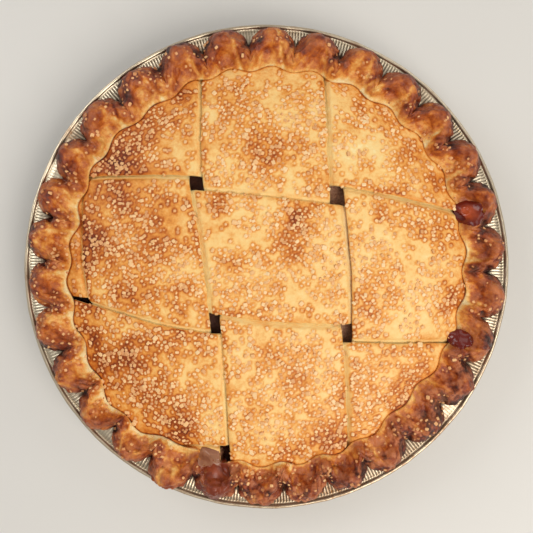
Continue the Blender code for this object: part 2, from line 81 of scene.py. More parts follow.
def corner_value(i, j, k, seed):
    mixed = (i * 73856093) ^ (j * 19349663) ^ (k * 83492791) ^ (seed * 2654435761)
    mixed = ((mixed & BITS) ^ ((mixed & BITS) >> 13)) * 1274126177
    mixed = mixed & BITS
    return ((mixed ^ (mixed >> 16)) & 0xFFFF) / 32767.5 - 1


def noise(points, size, seed):
    """Smooth noise with bumps of about this size, at points (..., 3)."""
    spot = np.asarray(points) / size
    cell = np.floor(spot).astype(np.int64)
    part = spot - cell
    part = part * part * (3 - 2 * part)
    total = 0
    for corner in range(8):
        step = np.array([corner & 1, corner >> 1 & 1, corner >> 2 & 1])
        weight = np.prod(np.where(step, part, 1 - part), axis=-1)
        at = cell + step
        total = total + weight * corner_value(at[..., 0], at[..., 1], at[..., 2], seed)
    return total


def layered_noise(points, size, seed, layers=3):
    total = 0
    for layer in range(layers):
        total = total + noise(points, size / 2 ** layer, seed + layer) * 0.5 ** layer
    return total


def ease(low, high, value):
    """0 below low, 1 above high, smooth between."""
    t = np.clip((value - low) / (high - low), 0, 1)
    return t * t * (3 - 2 * t)


def flat_points(x, y):
    x, y = np.broadcast_arrays(x, y)
    return np.stack([x, y, np.zeros_like(x)], axis=-1)


sample = layered_noise(np.random.default_rng(0).random((1000, 3)), 0.1, 1)
print("noise runs from", sample.min().round(2), "to", sample.max().round(2))

# %% [markdown]
# ## Meshes from bands
# A strip of dough, a turned pan and a fluted rim are all a band: rows of points that each close on
# themselves. So one helper joins neighbouring points by faces, and the shapes are written as sums on
# whole rows. Numbers that belong to each point, such as how brown it is, are kept on the mesh as named
# marks for the finishes to read.

# %% Bands to pieces


def band_faces(rows, columns):
    """Faces of rows of points that each close on themselves, with one face over either end."""
    row, column = np.meshgrid(np.arange(rows - 1), np.arange(columns), indexing="ij")
    right = (column + 1) % columns
    corners = (
        row * columns + column,
        row * columns + right,
        (row + 1) * columns + right,
        (row + 1) * columns + column,
    )
    faces = np.stack([corner.ravel() for corner in corners], axis=1).tolist()
    ends = [list(range(columns)), list(range((rows - 1) * columns, rows * columns))]
    return faces + ends


def make_piece(name, points, faces, marks=None, smooth=True):
    points = np.asarray(points, dtype=float).reshape(-1, 3)
    mesh = bpy.data.meshes.new(name)
    mesh.from_pydata(points.tolist(), [], faces)
    builder = bmesh.new()
    builder.from_mesh(mesh)
    bmesh.ops.recalc_face_normals(builder, faces=builder.faces)
    builder.to_mesh(mesh)
    builder.free()
    for mark, values in (marks or {}).items():
        layer = mesh.attributes.new(mark, "FLOAT", "POINT")
        layer.data.foreach_set("value", np.ravel(values).astype(np.float32))
    if smooth:
        mesh.shade_smooth()
    piece = bpy.data.objects.new(name, mesh)
    bpy.context.scene.collection.objects.link(piece)
    print(f"{name}: {len(points)} points, {len(faces)} faces")
    return piece


def band_normals(points):
    """Unit normals of rows of points that close on themselves, by the two directions across them."""
    along = np.gradient(points, axis=0)
    across = (np.roll(points, -1, axis=1) - np.roll(points, 1, axis=1)) / 2
    normal = np.cross(across, along)
    return normal / np.maximum(np.linalg.norm(normal, axis=-1, keepdims=True), 1e-12)


def smooth_through(knots, count):
    """Points on a smooth curve through the knots, (knots, columns, 2) to (count, columns, 2)."""
    knots = np.asarray(knots)
    ends = np.concatenate([2 * knots[:1] - knots[1:2], knots, 2 * knots[-1:] - knots[-2:-1]])
    place = np.linspace(0, len(knots) - 1 - 1e-9, count)
    index = place.astype(int)
    t = (place - index)[:, None, None]
    before, start, end, after = (ends[index + shift] for shift in range(4))
    bend = 2 * before - 5 * start + 4 * end - after
    twist = -before + 3 * start - 3 * end + after
    return 0.5 * (2 * start + (end - before) * t + bend * t ** 2 + twist * t ** 3)


print("a band of 3 rows of 4 points has", len(band_faces(3, 4)), "faces")

# %% [markdown]
# ## The shape that the dough shares
# The lattice lies over the filling like a low pillow. The rim was pinched by hand into thirty lobes
# with knuckles between them, and not quite evenly. The values and formulas are the solids' own, because
# every piece has to meet the others where the frame says. A few were fitted to the real pie afterwards:
# the thickness, dive and sag of the strips, the fullness of the lobes and a wander of the lip. What
# varies round the pie is a table of sides: for each its angle and spread, and how much it adds there.

# %% Values of the rim and the dome


def sides(*rows):
    """Rows of (angle, spread, height), with the first two turned from degrees into radians."""
    return tuple((math.radians(angle), math.radians(spread), height) for angle, spread, height in rows)


CLEARANCE = 0.0003
LOBES = 30
LOBE_STEPS = 40
FIRST_LOBE = math.radians(4.5)
LOBE_PITCH = math.tau / LOBES
LOBE_DRIFTS = sides((146, 14, math.radians(3.2)), (303, 16, math.radians(-2.3)))
SEAM_WANDERS = sides((226, 14, 0.0045), (317, 12, -0.0030), (125, 9, -0.0022), (167, 8, -0.0022))
LIP_WANDERS = sides((244.5, 4.5, -0.0024))
SEAM_RADIUS = 0.0983
SEAM_WAVE = 0.0015
TIP_RADIUS = 0.1189
TIP_SCATTER = 0.0006
LONG_LOBE = 20
LONG_LOBE_TIP = 0.1217
NOTCH_RADIUS = 0.1080
NOTCH_SHARPNESS = 0.98
LOBE_FULLNESS = 2.35
RIM_SEED = 11
DOME_RADIUS = 0.0990
DOME_EDGE_Z = 0.0346
DOME_RISE = 0.0120
DOME_POWER = 3.2
DOME_ROUND = 0.8
DOME_LIMIT = 0.985
STRIP = 0.0026
SOLID_STRIP = 0.0032


def bumps(angle, table):
    """Sum of smooth bumps round the circle, each (angle, spread, height)."""
    total = np.zeros_like(np.asarray(angle, dtype=float))
    for centre, spread, height in table:
        away = (angle - centre + math.pi) % math.tau - math.pi
        total = total + height * np.exp(-((away / spread) ** 2))
    return total


def dome_share(x, y):
    reach = DOME_RADIUS + np.maximum(0, bumps(np.arctan2(y, x), SEAM_WANDERS))
    return np.hypot(x, y) / reach


def dome_top(x, y):
    """Height of the lattice's upper face."""
    share = dome_share(x, y)
    inside = np.minimum(share, DOME_LIMIT)
    rise = (1 - inside ** DOME_POWER) ** DOME_ROUND
    edge_rest = 1 - DOME_LIMIT ** DOME_POWER
    slope = DOME_ROUND * edge_rest ** (DOME_ROUND - 1) * DOME_POWER * DOME_LIMIT ** (DOME_POWER - 1)
    return DOME_EDGE_Z + DOME_RISE * (rise - slope * (share - inside))


def rim_notches():
    evenly = FIRST_LOBE + LOBE_PITCH * np.arange(-1, LOBES + 1)
    centres = evenly + bumps(evenly, LOBE_DRIFTS)
    return (centres[:-1] + centres[1:]) / 2


NOTCHES = rim_notches()
LOBE = np.repeat(np.arange(LOBES), LOBE_STEPS)
ALONG = np.tile(np.arange(LOBE_STEPS) / LOBE_STEPS, LOBES)
ANGLES = NOTCHES[LOBE] + (NOTCHES[LOBE + 1] - NOTCHES[LOBE]) * ALONG
WAVE = np.cos(math.pi * np.abs(2 * ALONG - 1))
SEAM = SEAM_RADIUS + SEAM_WAVE * WAVE + bumps(ANGLES, SEAM_WANDERS) + bumps(ANGLES, LIP_WANDERS)


def seam_at(angle):
    """Radius of the seam between the lattice and the rim, at any angle."""
    turned = (angle - ANGLES[0]) % math.tau + ANGLES[0]
    return np.interp(turned, np.append(ANGLES, ANGLES[0] + math.tau), np.append(SEAM, SEAM[0]))


print("first notch at", round(math.degrees(NOTCHES[0]), 1), "degrees")
print("dome", round(float(dome_top(0.0, 0.0)), 4), "high")

# %% [markdown]
# ## The weave
# Three broad strips run up and three run across. Each goes over one and under the next, and changes
# height only beside the strip that covers it, where soft dough bends down in a few millimetres. An
# edge is a smooth curve through five offsets, because the strips were cut and laid by hand.

# %% Strip edges and the over and under of the weave
STATIONS = np.array((-0.095, -0.040, 0.0, 0.040, 0.095))
LATTICE_REACH = 0.1002
FAR = (LATTICE_REACH,) * 5
V1_LEFT = (-0.076, -0.082, -0.090, -0.091, -0.095)
V1_RIGHT = (-0.0228, -0.0263, -0.0305, -0.0372, -0.0450)
V2_LEFT = (-0.0178, -0.0210, -0.0255, -0.0306, -0.0320)
V2_RIGHT = (0.0406, 0.0370, 0.0332, 0.0303, 0.0283)
V3_LEFT = (0.0430, 0.0416, 0.0409, 0.0368, 0.0335)
H1_LOW = (0.0450, 0.0440, 0.0412, 0.0382, 0.0275)
H2_HIGH = (0.0380, 0.0372, 0.0336, 0.0292, 0.0240)
H2_LOW = (-0.0148, -0.0208, -0.0262, -0.0279, -0.0270)
H3_HIGH = (-0.0165, -0.0307, -0.0342, -0.0368, -0.0383)
H3_LOW = (-0.1030, -0.0886, -0.0910, -0.1030, -0.1030)
LEVEL_LINES = (H3_HIGH, H2_LOW, H2_HIGH, H1_LOW)
UPRIGHT_LINES = (V1_RIGHT, V2_LEFT, V2_RIGHT, V3_LEFT)
DIVE = 0.0030
DIVE_SHARE = 0.85
LAYER_SAG = 0.0006
REBATE_RADIUS = 0.1010
REBATE_WANDER = 1.1

# Name: its two edges, whether it starts on top, the lines of the strips that cross it, upright or not
WEAVE = {
    "strip_v1": (V1_LEFT, V1_RIGHT, 0, LEVEL_LINES, True),
    "strip_v2": (V2_LEFT, V2_RIGHT, 1, LEVEL_LINES, True),
    "strip_v3": (V3_LEFT, FAR, 0, LEVEL_LINES, True),
    "strip_h1": (H1_LOW, FAR, 1, UPRIGHT_LINES, False),
    "strip_h2": (H2_LOW, H2_HIGH, 0, UPRIGHT_LINES, False),
    "strip_h3": (H3_LOW, H3_HIGH, 1, UPRIGHT_LINES, False),
}
# How far outside the first strip that covers it a strip stays pale
PALE_REACH = (0.0002, 0.0014)
# How far, and how much, a covered end rises again between that strip and the rim
END_RISE_REACH = 0.0030
END_RISE = 0.80
# How much paler such a risen end is
END_PALE = 0.12


def edge_at(offsets, along):
    """Smooth curve through an edge's five offsets, read at any place along the strip."""
    values = np.array(offsets)
    slopes = np.gradient(values, STATIONS)
    along = np.clip(along, STATIONS[0], STATIONS[-1])
    i = np.clip(np.searchsorted(STATIONS, along) - 1, 0, len(STATIONS) - 2)
    width = STATIONS[i + 1] - STATIONS[i]
    t = (along - STATIONS[i]) / width
    start = (1 + 2 * t) * (1 - t) ** 2 * values[i] + t * (1 - t) ** 2 * width * slopes[i]
    end = t * t * (3 - 2 * t) * values[i + 1] - t * t * (1 - t) * width * slopes[i + 1]
    return start + end


def overness(x, y, over_first, lines, upright):
    """1 where a strip lies on top, 0 where it is covered, smooth where it dives."""
    along, across = (y, x) if upright else (x, y)
    state = np.full(np.broadcast(x, y).shape, float(over_first))
    for near, far in ((lines[0], lines[1]), (lines[2], lines[3])):
        start = edge_at(near, across)
        end = edge_at(far, across)
        ramp = np.minimum(DIVE, DIVE_SHARE * np.maximum(end - start, 1e-5))
        falling = 1 - ease(end - ramp, end, along)
        rising = ease(start, start + ramp, along)
        passed = along > (start + end) / 2
        first_gap = near is lines[0]
        before_over = over_first if first_gap else 1 - over_first
        change = falling if before_over else rising
        inside = (along > start - 1e-9) & (along < end + 1e-9)
        state = np.where(inside, change, np.where(passed, 1.0 - before_over, state))
    return state


def outside_first_cover(x, y, upright):
    """How far a place lies outside the outer edge of the first crossing strip."""
    return edge_at(H3_LOW, x) - y if upright else edge_at(V1_LEFT, y) - x


def under_drop(x, y):
    return STRIP + 0.0002 + LAYER_SAG * ease(0.45, 1, dome_share(x, y))


def on_top(x, y):
    """1 where some strip lies at the top, 0 in the holes, where every strip there dives."""
    best = np.zeros(np.broadcast(x, y).shape)
    for low, high, over_first, lines, upright in WEAVE.values():
        along, across = (y, x) if upright else (x, y)
        inside = (across > edge_at(low, along)) & (across < edge_at(high, along))
        best = np.maximum(best, np.where(inside, overness(x, y, over_first, lines, upright), 0))
    return best


middle_on_top = on_top(np.zeros(1), np.zeros(1))[0]
print("the middle square lies on top:", bool(middle_on_top))

# %% [markdown]
# ## Where the sugar fell
# Coarse sugar was thrown on by the pinch, so it lies in drifts with bare places between. Spots are
# drawn at random and kept where a density map and a least distance let them. The same drifts browned
# most in the oven, so one table of patches drives the sugar and the colour; some patches on the left
# also darken that side as painted shade. Each crystal also melted a little and left a thin dark ring,
# so rings are stamped into a fine map that the dough reads later.

# %% Browned patches and sugar spots
# Each patch is (x, y, spread, strength); some on the left also darken that side as painted shade
PATCHES = (
    (-0.0225, 0.0300, 0.0055, 0.50), (0.0140, 0.0225, 0.0075, 0.45), (0.0125, 0.0100, 0.0080, 0.30),
    (-0.0185, 0.0020, 0.0050, 0.28), (-0.0020, 0.0060, 0.0140, 0.16), (-0.0125, 0.0780, 0.0080, 0.30),
    (-0.0020, 0.0560, 0.0110, 0.42), (0.0160, 0.0830, 0.0070, 0.26), (-0.0220, 0.0640, 0.0080, 0.22),
    (0.0160, 0.0600, 0.0090, 0.20), (-0.0740, 0.0510, 0.0110, 0.42), (-0.0590, 0.0640, 0.0130, 0.20),
    (-0.0820, 0.0130, 0.0090, 0.36), (-0.0680, 0.0300, 0.0070, 0.30), (-0.0520, 0.0080, 0.0110, 0.14),
    (-0.0720, -0.0110, 0.0080, 0.14), (-0.0400, -0.0110, 0.0050, 0.28),
    (-0.0720, -0.0310, 0.0060, -0.12), (-0.0700, -0.0460, 0.0090, 0.30),
    (-0.0560, -0.0610, 0.0090, 0.36), (-0.0420, -0.0760, 0.0090, 0.34),
    (-0.0410, 0.0560, 0.0080, -0.12), (-0.0500, -0.0460, 0.0060, -0.12),
    (-0.0660, -0.0700, 0.0050, -0.14), (-0.0300, -0.0660, 0.0060, 0.24),
    (-0.0540, -0.0420, 0.0260, 0.10), (-0.0600, 0.0420, 0.0280, 0.07), (0.0480, 0.0640, 0.0110, -0.10),
    (0.0650, 0.0480, 0.0060, 0.10), (0.0820, 0.0420, 0.0050, 0.24), (0.0560, 0.0250, 0.0090, 0.26),
    (0.0520, -0.0160, 0.0080, 0.22), (0.0800, 0.0180, 0.0060, 0.18), (0.0930, -0.0160, 0.0070, 0.26),
    (0.0020, -0.0410, 0.0090, 0.24), (0.0160, -0.0560, 0.0100, 0.24), (-0.0080, -0.0760, 0.0070, 0.22),
    (0.0310, -0.0860, 0.0090, 0.34), (0.0110, -0.0930, 0.0070, 0.36), (0.0500, -0.0600, 0.0110, 0.26),
    (0.0660, -0.0700, 0.0080, 0.34), (0.0800, -0.0560, 0.0060, 0.30),
)
SUGAR_SEED = 7
SUGAR_TRIES = 60000
SUGAR_APART = 0.00120
SUGAR_BARE = 0.26
SUGAR_SHARE = 0.31
PATCH_SUGAR = 1.15
DRIFT_SUGAR = 0.20
SUGAR_FAR_LEFT = -0.15
SUGAR_NEAR_LEFT = 0.07
LEFT_SPAN = (-0.02, 0.07)
NEAR_SPAN = (-0.045, 0.010)
SUGAR_INSIDE = 0.0975
SUGAR_ON_TOP = 0.97
SUGAR_FROM_COVER = 0.002
SUGAR_FROM_SEAM = 0.0012
RIM_SUGAR_TRIES = 6000
RIM_SUGAR = (0.0985, 0.1165)
# Where more sugar fell on the rim: angle, spread, how much more
SUGARED_SIDES = sides((285, 50, 0.8), (190, 50, 1.0))
RIM_SUGAR_CHANCE = 0.09
KNUCKLE_SUGAR = 0.22
KNUCKLE_LAG = math.radians(1.0)
KNUCKLE_SPAN = (0.104, 0.112)
RIM_DRIFT_SUGAR = 0.24
MAP_CELL = 0.00025
MAP_HALF = 0.1230
RING_RADIUS = 0.00115
RING_WIDTH = 0.00042
RING_CELLS = 9


def patches(x, y):
    total = np.zeros(np.broadcast(x, y).shape)
    for px, py, spread, strength in PATCHES:
        total = total + strength * np.exp(-((x - px) ** 2 + (y - py) ** 2) / spread ** 2)
    return total


def sugar_density(x, y):
    drift = layered_noise(flat_points(x, y), 0.012, 41) + 0.9 * noise(flat_points(x, y), 0.0042, 45)
    left = SUGAR_FAR_LEFT + (SUGAR_NEAR_LEFT - SUGAR_FAR_LEFT) * ease(*NEAR_SPAN, -y)
    return SUGAR_BARE + PATCH_SUGAR * patches(x, y) + DRIFT_SUGAR * drift + left * ease(*LEFT_SPAN, -x)


def throw_sugar():
    """Spots of the crystals on the lattice, (x, y) each, none nearer than the least distance."""
    draw = np.random.default_rng(SUGAR_SEED)
    radius = SUGAR_INSIDE * np.sqrt(draw.random(SUGAR_TRIES))
    turn = draw.uniform(0, math.tau, SUGAR_TRIES)
    x = radius * np.cos(turn)
    y = radius * np.sin(turn)
    wanted = draw.random(SUGAR_TRIES) < SUGAR_SHARE * sugar_density(x, y)
    wanted &= (on_top(x, y) > SUGAR_ON_TOP) | (outside_first_cover(x, y, False) > SUGAR_FROM_COVER)
    wanted &= radius < seam_at(turn) - SUGAR_FROM_SEAM
    return keep_apart(x[wanted], y[wanted], SUGAR_APART)


def keep_apart(x, y, apart):
    taken = {}
    kept = []
    for spot in zip(x.tolist(), y.tolist()):
        home = (int(spot[0] // apart), int(spot[1] // apart))
        near = [taken.get((home[0] + i, home[1] + j)) for i in (-1, 0, 1) for j in (-1, 0, 1)]
        if any(other and math.dist(other, spot) < apart for other in near):
            continue
        taken[home] = spot
        kept.append(spot)
    return np.array(kept)


# Where syrup glazed the crust: angle in degrees, distance, radius, strength
GLAZES = (
    (256.5, 0.1125, 0.0098, 1.0), (255.5, 0.1040, 0.0074, 1.0),
    (14.9, 0.1040, 0.0082, 0.6), (339.4, 0.1024, 0.0070, 0.8),
    (290.0, 0.1090, 0.0050, 0.5), (2.0, 0.1060, 0.0040, 0.4),
)


def glaze_at(x, y):
    """How much syrup soaked a place, 0 to 1, with a ragged soft edge."""
    total = np.zeros(np.broadcast(x, y).shape)
    ragged = 0.0016 * layered_noise(flat_points(x, y), 0.005, 47)
    for degrees, distance, radius, strength in GLAZES:
        turn = math.radians(degrees)
        away = np.hypot(x - distance * math.cos(turn), y - distance * math.sin(turn)) + ragged
        total = np.maximum(total, strength * (1 - ease(0.65, 1.15, away / radius)))
    return total


def throw_rim_sugar():
    """Spots on the rim, mostly on the knuckles, and more at the near side and the left."""
    draw = np.random.default_rng(SUGAR_SEED + 1)
    turn = draw.uniform(0, math.tau, RIM_SUGAR_TRIES)
    radius = draw.uniform(*RIM_SUGAR, RIM_SUGAR_TRIES)
    phase = np.interp((turn - KNUCKLE_LAG - ANGLES[0]) % math.tau + ANGLES[0], ANGLES, WAVE)
    x = radius * np.cos(turn)
    y = radius * np.sin(turn)
    chance = RIM_SUGAR_CHANCE + KNUCKLE_SUGAR * (1 - phase) / 2 * (1 - ease(*KNUCKLE_SPAN, radius))
    chance = chance * (0.5 + bumps(turn, SUGARED_SIDES))
    chance = chance + RIM_DRIFT_SUGAR * layered_noise(flat_points(x, y), 0.008, 43)
    chance = chance * (glaze_at(x, y) < 0.3)
    wanted = draw.random(RIM_SUGAR_TRIES) < chance
    return keep_apart(x[wanted], y[wanted], SUGAR_APART * 1.2)


lattice_sugar = throw_sugar()
rim_sugar = throw_rim_sugar()
print(len(lattice_sugar), "crystals on the lattice,", len(rim_sugar), "on the rim")

# %% Rings that the melted sugar left


def stamp_rings(spots):
    size = int(2 * MAP_HALF / MAP_CELL)
    rings = np.zeros((size, size))
    step = np.arange(-RING_CELLS, RING_CELLS + 1)
    for x, y in spots:
        column = int((x + MAP_HALF) / MAP_CELL)
        row = int((y + MAP_HALF) / MAP_CELL)
        dx = (column + step) * MAP_CELL - MAP_HALF - x
        dy = (row + step) * MAP_CELL - MAP_HALF - y
        away = np.hypot(dx[None, :], dy[:, None])
        ring = np.exp(-(((away - RING_RADIUS) / RING_WIDTH) ** 2))
        rows = slice(row - RING_CELLS, row + RING_CELLS + 1)
        view = rings[rows, column - RING_CELLS:column + RING_CELLS + 1]
        if view.shape == ring.shape:
            np.maximum(view, ring, out=view)
    return rings


RINGS = stamp_rings(np.concatenate([lattice_sugar, rim_sugar]))


def rings_at(x, y):
    """How strongly a melted ring shows at a place, 0 to 1."""
    column = np.clip((x + MAP_HALF) / MAP_CELL, 0, RINGS.shape[1] - 2)
    row = np.clip((y + MAP_HALF) / MAP_CELL, 0, RINGS.shape[0] - 2)
    c = column.astype(int)
    r = row.astype(int)
    fc = column - c
    fr = row - r
    low = RINGS[r, c] * (1 - fc) + RINGS[r, c + 1] * fc
    high = RINGS[r + 1, c] * (1 - fc) + RINGS[r + 1, c + 1] * fc
    return low * (1 - fr) + high * fr


print("ring map", RINGS.shape, "covers", round(float((RINGS > 0.3).mean()), 3))

# %% [markdown]
# ## The lattice strips
# A strip is a slab of rolled dough with rounded upper edges. A plane with a thickness would be
# quicker, but its sides would be square and its ends would stick through the rim. So it is a closed
# band that runs from rim to rim: the upper face in fine steps, then down the side, back under and up
# again. Its ends stop in the recess under the lip. How brown each point is goes with it as a mark:
# more on the drifts and near the rim, pale where the dough dives and on its cut sides. The same mark
# also carries painted shade: darker towards the left, in the crease at the lip and on the cut side of
# strip_v3.

# %% Strip values, browning and painted shade
STRIP_STEP = 0.00065
EDGE_ROUND = 0.0020
EDGE_DROP = 0.0010
SIDE_DEPTHS = (0.45, 0.75, 1.0)
UNDER_COLUMNS = 5
EDGE_WAVER = 0.00022
SWELL = 0.00022
GRAIN = 0.00006
# The cut side of strip_v3 faces away from the light; its dark colour is painted shade
SHADED_CUT_BAKE = {"strip_v3": 0.72}
PALE_CUT = 0.06
DIVE_BAKE = 0.04
PALE_SPAN = (0.20, 0.64)
MEAN_BAKE = 0.235
# Painted shade: how much darker the lattice gets towards the left, away from the light
LEFT_SHADE = 0.13
EDGE_BAKE = 0.11
PATCH_BAKE = 0.52
RING_BAKE = 0.22
TOAST = 0.10
TOAST_IN = 0.0012
TOAST_WIDTH = 0.0011
# Painted shade in the crease where the strips meet the rim's lip
CREASE_SHADE = 0.30
CREASE_SHADE_WIDTH = 0.0006
RIM_REACH = 0.108


def lattice_bake_and_shade(x, y):
    """How brown the lattice is, with painted shade towards the left, from 0 for raw cream to 1 for
    nearly black.
    """
    spot = flat_points(x, y)
    share = np.hypot(x, y) / seam_at(np.arctan2(y, x))
    broad = 0.085 * layered_noise(spot, 0.014, 21) + 0.055 * layered_noise(spot, 0.0045, 22)
    # Painted shade towards the left
    left = LEFT_SHADE * ease(0.0, 0.07, -x)
    rim = EDGE_BAKE * ease(0.80, 0.97, share)
    return MEAN_BAKE + broad + PATCH_BAKE * patches(x, y) + left + rim


def trim_radius(angle):
    wander = np.maximum(0, bumps(angle, SEAM_WANDERS))
    return REBATE_RADIUS - CLEARANCE + REBATE_WANDER * wander


def strip_ends(low, high, share, upright):
    """Where each column of a strip meets the recess, on both sides, by halving."""
    found = []
    for side in (-1, 1):
        near = np.zeros_like(share)
        far = np.full_like(share, side * RIM_REACH)
        for _ in range(30):
            half = (near + far) / 2
            across = edge_at(low, half) * (1 - share) + edge_at(high, half) * share
            x, y = (across, half) if upright else (half, across)
            inside = np.hypot(x, y) < trim_radius(np.arctan2(y, x))
            near = np.where(inside, half, near)
            far = np.where(inside, far, half)
        found.append(near)
    return found


def strip_bake_and_shade(spot, x, y, from_edge, over, risen, dive, upright):
    """How brown a strip's upper face is: drifts, melted rings, toasted edges, pale dives, and painted
    shade towards the left and in the crease at the lip.
    """
    ring = (RING_BAKE + 0.10 * noise(spot, 0.007, 38)) * rings_at(x, y)
    bake_and_shade = lattice_bake_and_shade(x, y) + ring * ease(0.6, 1, over)
    bake_and_shade = bake_and_shade + TOAST * np.exp(-((from_edge - TOAST_IN) / TOAST_WIDTH) ** 2) - END_PALE * risen
    pale = ease(*PALE_SPAN, dive) * (1 - ease(*PALE_REACH, outside_first_cover(x, y, upright)))
    raw = DIVE_BAKE + 0.16 * layered_noise(spot, 0.007, 37)
    bake_and_shade = bake_and_shade + (raw - bake_and_shade) * pale
    from_seam = np.hypot(x, y) - seam_at(np.arctan2(y, x))
    # Painted shade in the crease at the rim's lip
    return bake_and_shade + CREASE_SHADE * np.exp(-(((from_seam - 0.0001) / CREASE_SHADE_WIDTH) ** 2))


print("browning at the middle:", round(float(lattice_bake_and_shade(np.zeros(1), np.zeros(1))[0]), 3))

# %% Strips


def strip_columns(low, high):
    """How far across the strip each column of its band lies, and how deep in its side."""
    width = float(np.mean(edge_at(high, STATIONS) - edge_at(low, STATIONS)))
    top_count = int(width / STRIP_STEP)
    share = 0.5 - 0.5 * np.cos(np.linspace(0, math.pi, top_count))
    share = 0.35 * share + 0.65 * np.linspace(0, 1, top_count)
    under = np.linspace(1, 0, UNDER_COLUMNS + 2)[1:-1]
    side = np.ones(len(SIDE_DEPTHS))
    shares = np.concatenate([share, side, under, 0 * side])
    depths = np.concatenate([0 * share, SIDE_DEPTHS, 0 * under + 1, SIDE_DEPTHS[::-1]])
    return shares, depths


def build_strip(name, low, high, over_first, lines, upright):
    shares, depths = strip_columns(low, high)
    start, end = strip_ends(low, high, shares, upright)
    rows = int(2 * LATTICE_REACH / STRIP_STEP)
    along = start + (end - start) * np.linspace(0, 1, rows)[:, None]
    across = edge_at(low, along) * (1 - shares) + edge_at(high, along) * shares
    x, y = (across, along) if upright else (along, across)
    own_noise = np.full_like(x, 0.01 * len(name) + 0.07 * ord(name[-1]))
    spot = np.stack([x, y, own_noise], axis=-1)
    across = across + EDGE_WAVER * layered_noise(spot, 0.009, 31)
    x, y = (across, along) if upright else (along, across)
    width_here = np.abs(edge_at(high, along) - edge_at(low, along))
    from_edge = np.minimum(shares, 1 - shares) * width_here
    over = overness(x, y, over_first, lines, upright)
    dive = 1 - over
    risen = dive * ease(0, END_RISE_REACH, outside_first_cover(x, y, upright))
    over = over + END_RISE * risen
    round_part = np.clip(1 - from_edge / EDGE_ROUND, 0, 1)
    drop = EDGE_DROP * (1 - np.sqrt(1 - (0.999 * round_part) ** 2))
    surface = dome_top(x, y) - (1 - over) * under_drop(x, y)
    relief = SWELL * layered_noise(spot, 0.008, 32) + GRAIN * noise(spot, 0.0016, 36)
    z = surface + np.where(depths == 0, relief - drop, -drop * (1 - depths) - STRIP * depths)
    bake_and_shade = strip_bake_and_shade(spot, x, y, from_edge, over, risen, dive, upright)
    # Cut sides are pale, except that of strip_v3, which is painted dark as shade
    bake_and_shade = np.where(depths > 0, SHADED_CUT_BAKE.get(name, PALE_CUT), bake_and_shade)
    points = np.stack([x, y, z], axis=-1)
    return make_piece("lattice_" + name, points, band_faces(rows, len(shares)), {"bake_and_shade": bake_and_shade})


strip_pieces = {name: build_strip(name, *plan) for name, plan in WEAVE.items()}

# %% [markdown]
# ## The crust shell and its fluted rim
# The rim is the overhang of the bottom crust, folded up and pinched round the pan. In section it
# rises from the foil to a tip, goes over a crest and slopes down to a thin lip on the lattice. It
# could be sculpted, but in numbers each lobe can be moved alone. The section is a smooth curve
# through eight points at each of 1200 angles, so the lobes swell and the notches stay tight. Each
# lobe has the groove of a finger in it, a little off its middle. A knuckle swells between two lobes,
# a crack runs in beside it, and streaks of the pulled dough lean that way.

# %% Rim sections
FLANGE_Z = 0.0299
FOIL = 0.00045
RIM_UNDER_Z = FLANGE_Z + FOIL + CLEARANCE
SECTION_ROWS = 54
TIP_Z = 0.0336
TIP_WAVE = 0.0008
CREST_SCATTER = 0.0006
CREST_BACK = 0.0082
CREST_BACK_WAVE = 0.0011
CREST_Z = 0.0416
CREST_WAVE = 0.0012
SHOULDER = 0.6
SHOULDER_RISE = 0.625
SHOULDER_WAVE = 0.175
SOLE_IN = 0.0026
SOLE_LEAST_RADIUS = 0.1094
UNDERCUT_IN = 0.0009
UNDERCUT_LEAST_RADIUS = 0.1097
UNDERCUT_RISE = 0.0011
LIP_SLOPE = 1.30
LIP_SLOPE_WAVE = 0.55
GROOVE_RADIUS = 0.116
GROOVE_OFF = math.radians(-1.5)
GROOVE_LEAN = math.radians(-90)
GROOVE_WIDTH = 0.0010
GROOVE_DEPTH = 0.0006
CREVICE_RADIUS = 0.1105
CREVICE_OFF = math.radians(-5.4)
CREVICE_LEAN = math.radians(-280)
CREVICE_WIDTH = 0.0013
CREVICE_DEPTH = 0.0009
CREVICE_SPAN = (0.1012, 0.1040, 0.1115, 0.1135)
# Two swells and a hollow of the rim: angle from a lobe's middle, radius, half width round, half length
# out, height or depth
KNOB = (math.radians(0.9), 0.1120, 0.0068, 0.0054, 0.0017)
KNUCKLE = (math.radians(-5.0), 0.1028, 0.0054, 0.0050, 0.0029)
HOLLOW = (math.radians(1.0), 0.1035, 0.0048, 0.0044, 0.0014)
# Where the rim is rougher: angle, spread, how much more
ROUGH_SIDES = sides((270, 45, 0.9), (185, 40, 0.3))
LOBE_LUCK = (0.65, 1.30)
RIM_LIMIT = 0.1216
LIP_ROLL = 0.0008
LIP_ROLL_REACH = 0.0009
LUMPS = 0.00060
CRINKLE = 0.00070
PORES = 0.00020
# Swells lift the dough more than they push it out, so that the lobes keep their round outline
SWELL_WAY = np.array([0.35, 0.35, 1.0])
# A row of the section on the rim's outer wall, which shows which way its normals face
WALL_ROW = 8
STREAK_RADIUS = 0.112
STREAK_WIDTH = 0.0019
STREAK_STRETCH = 0.28
STREAK_DEPTH = 0.00016


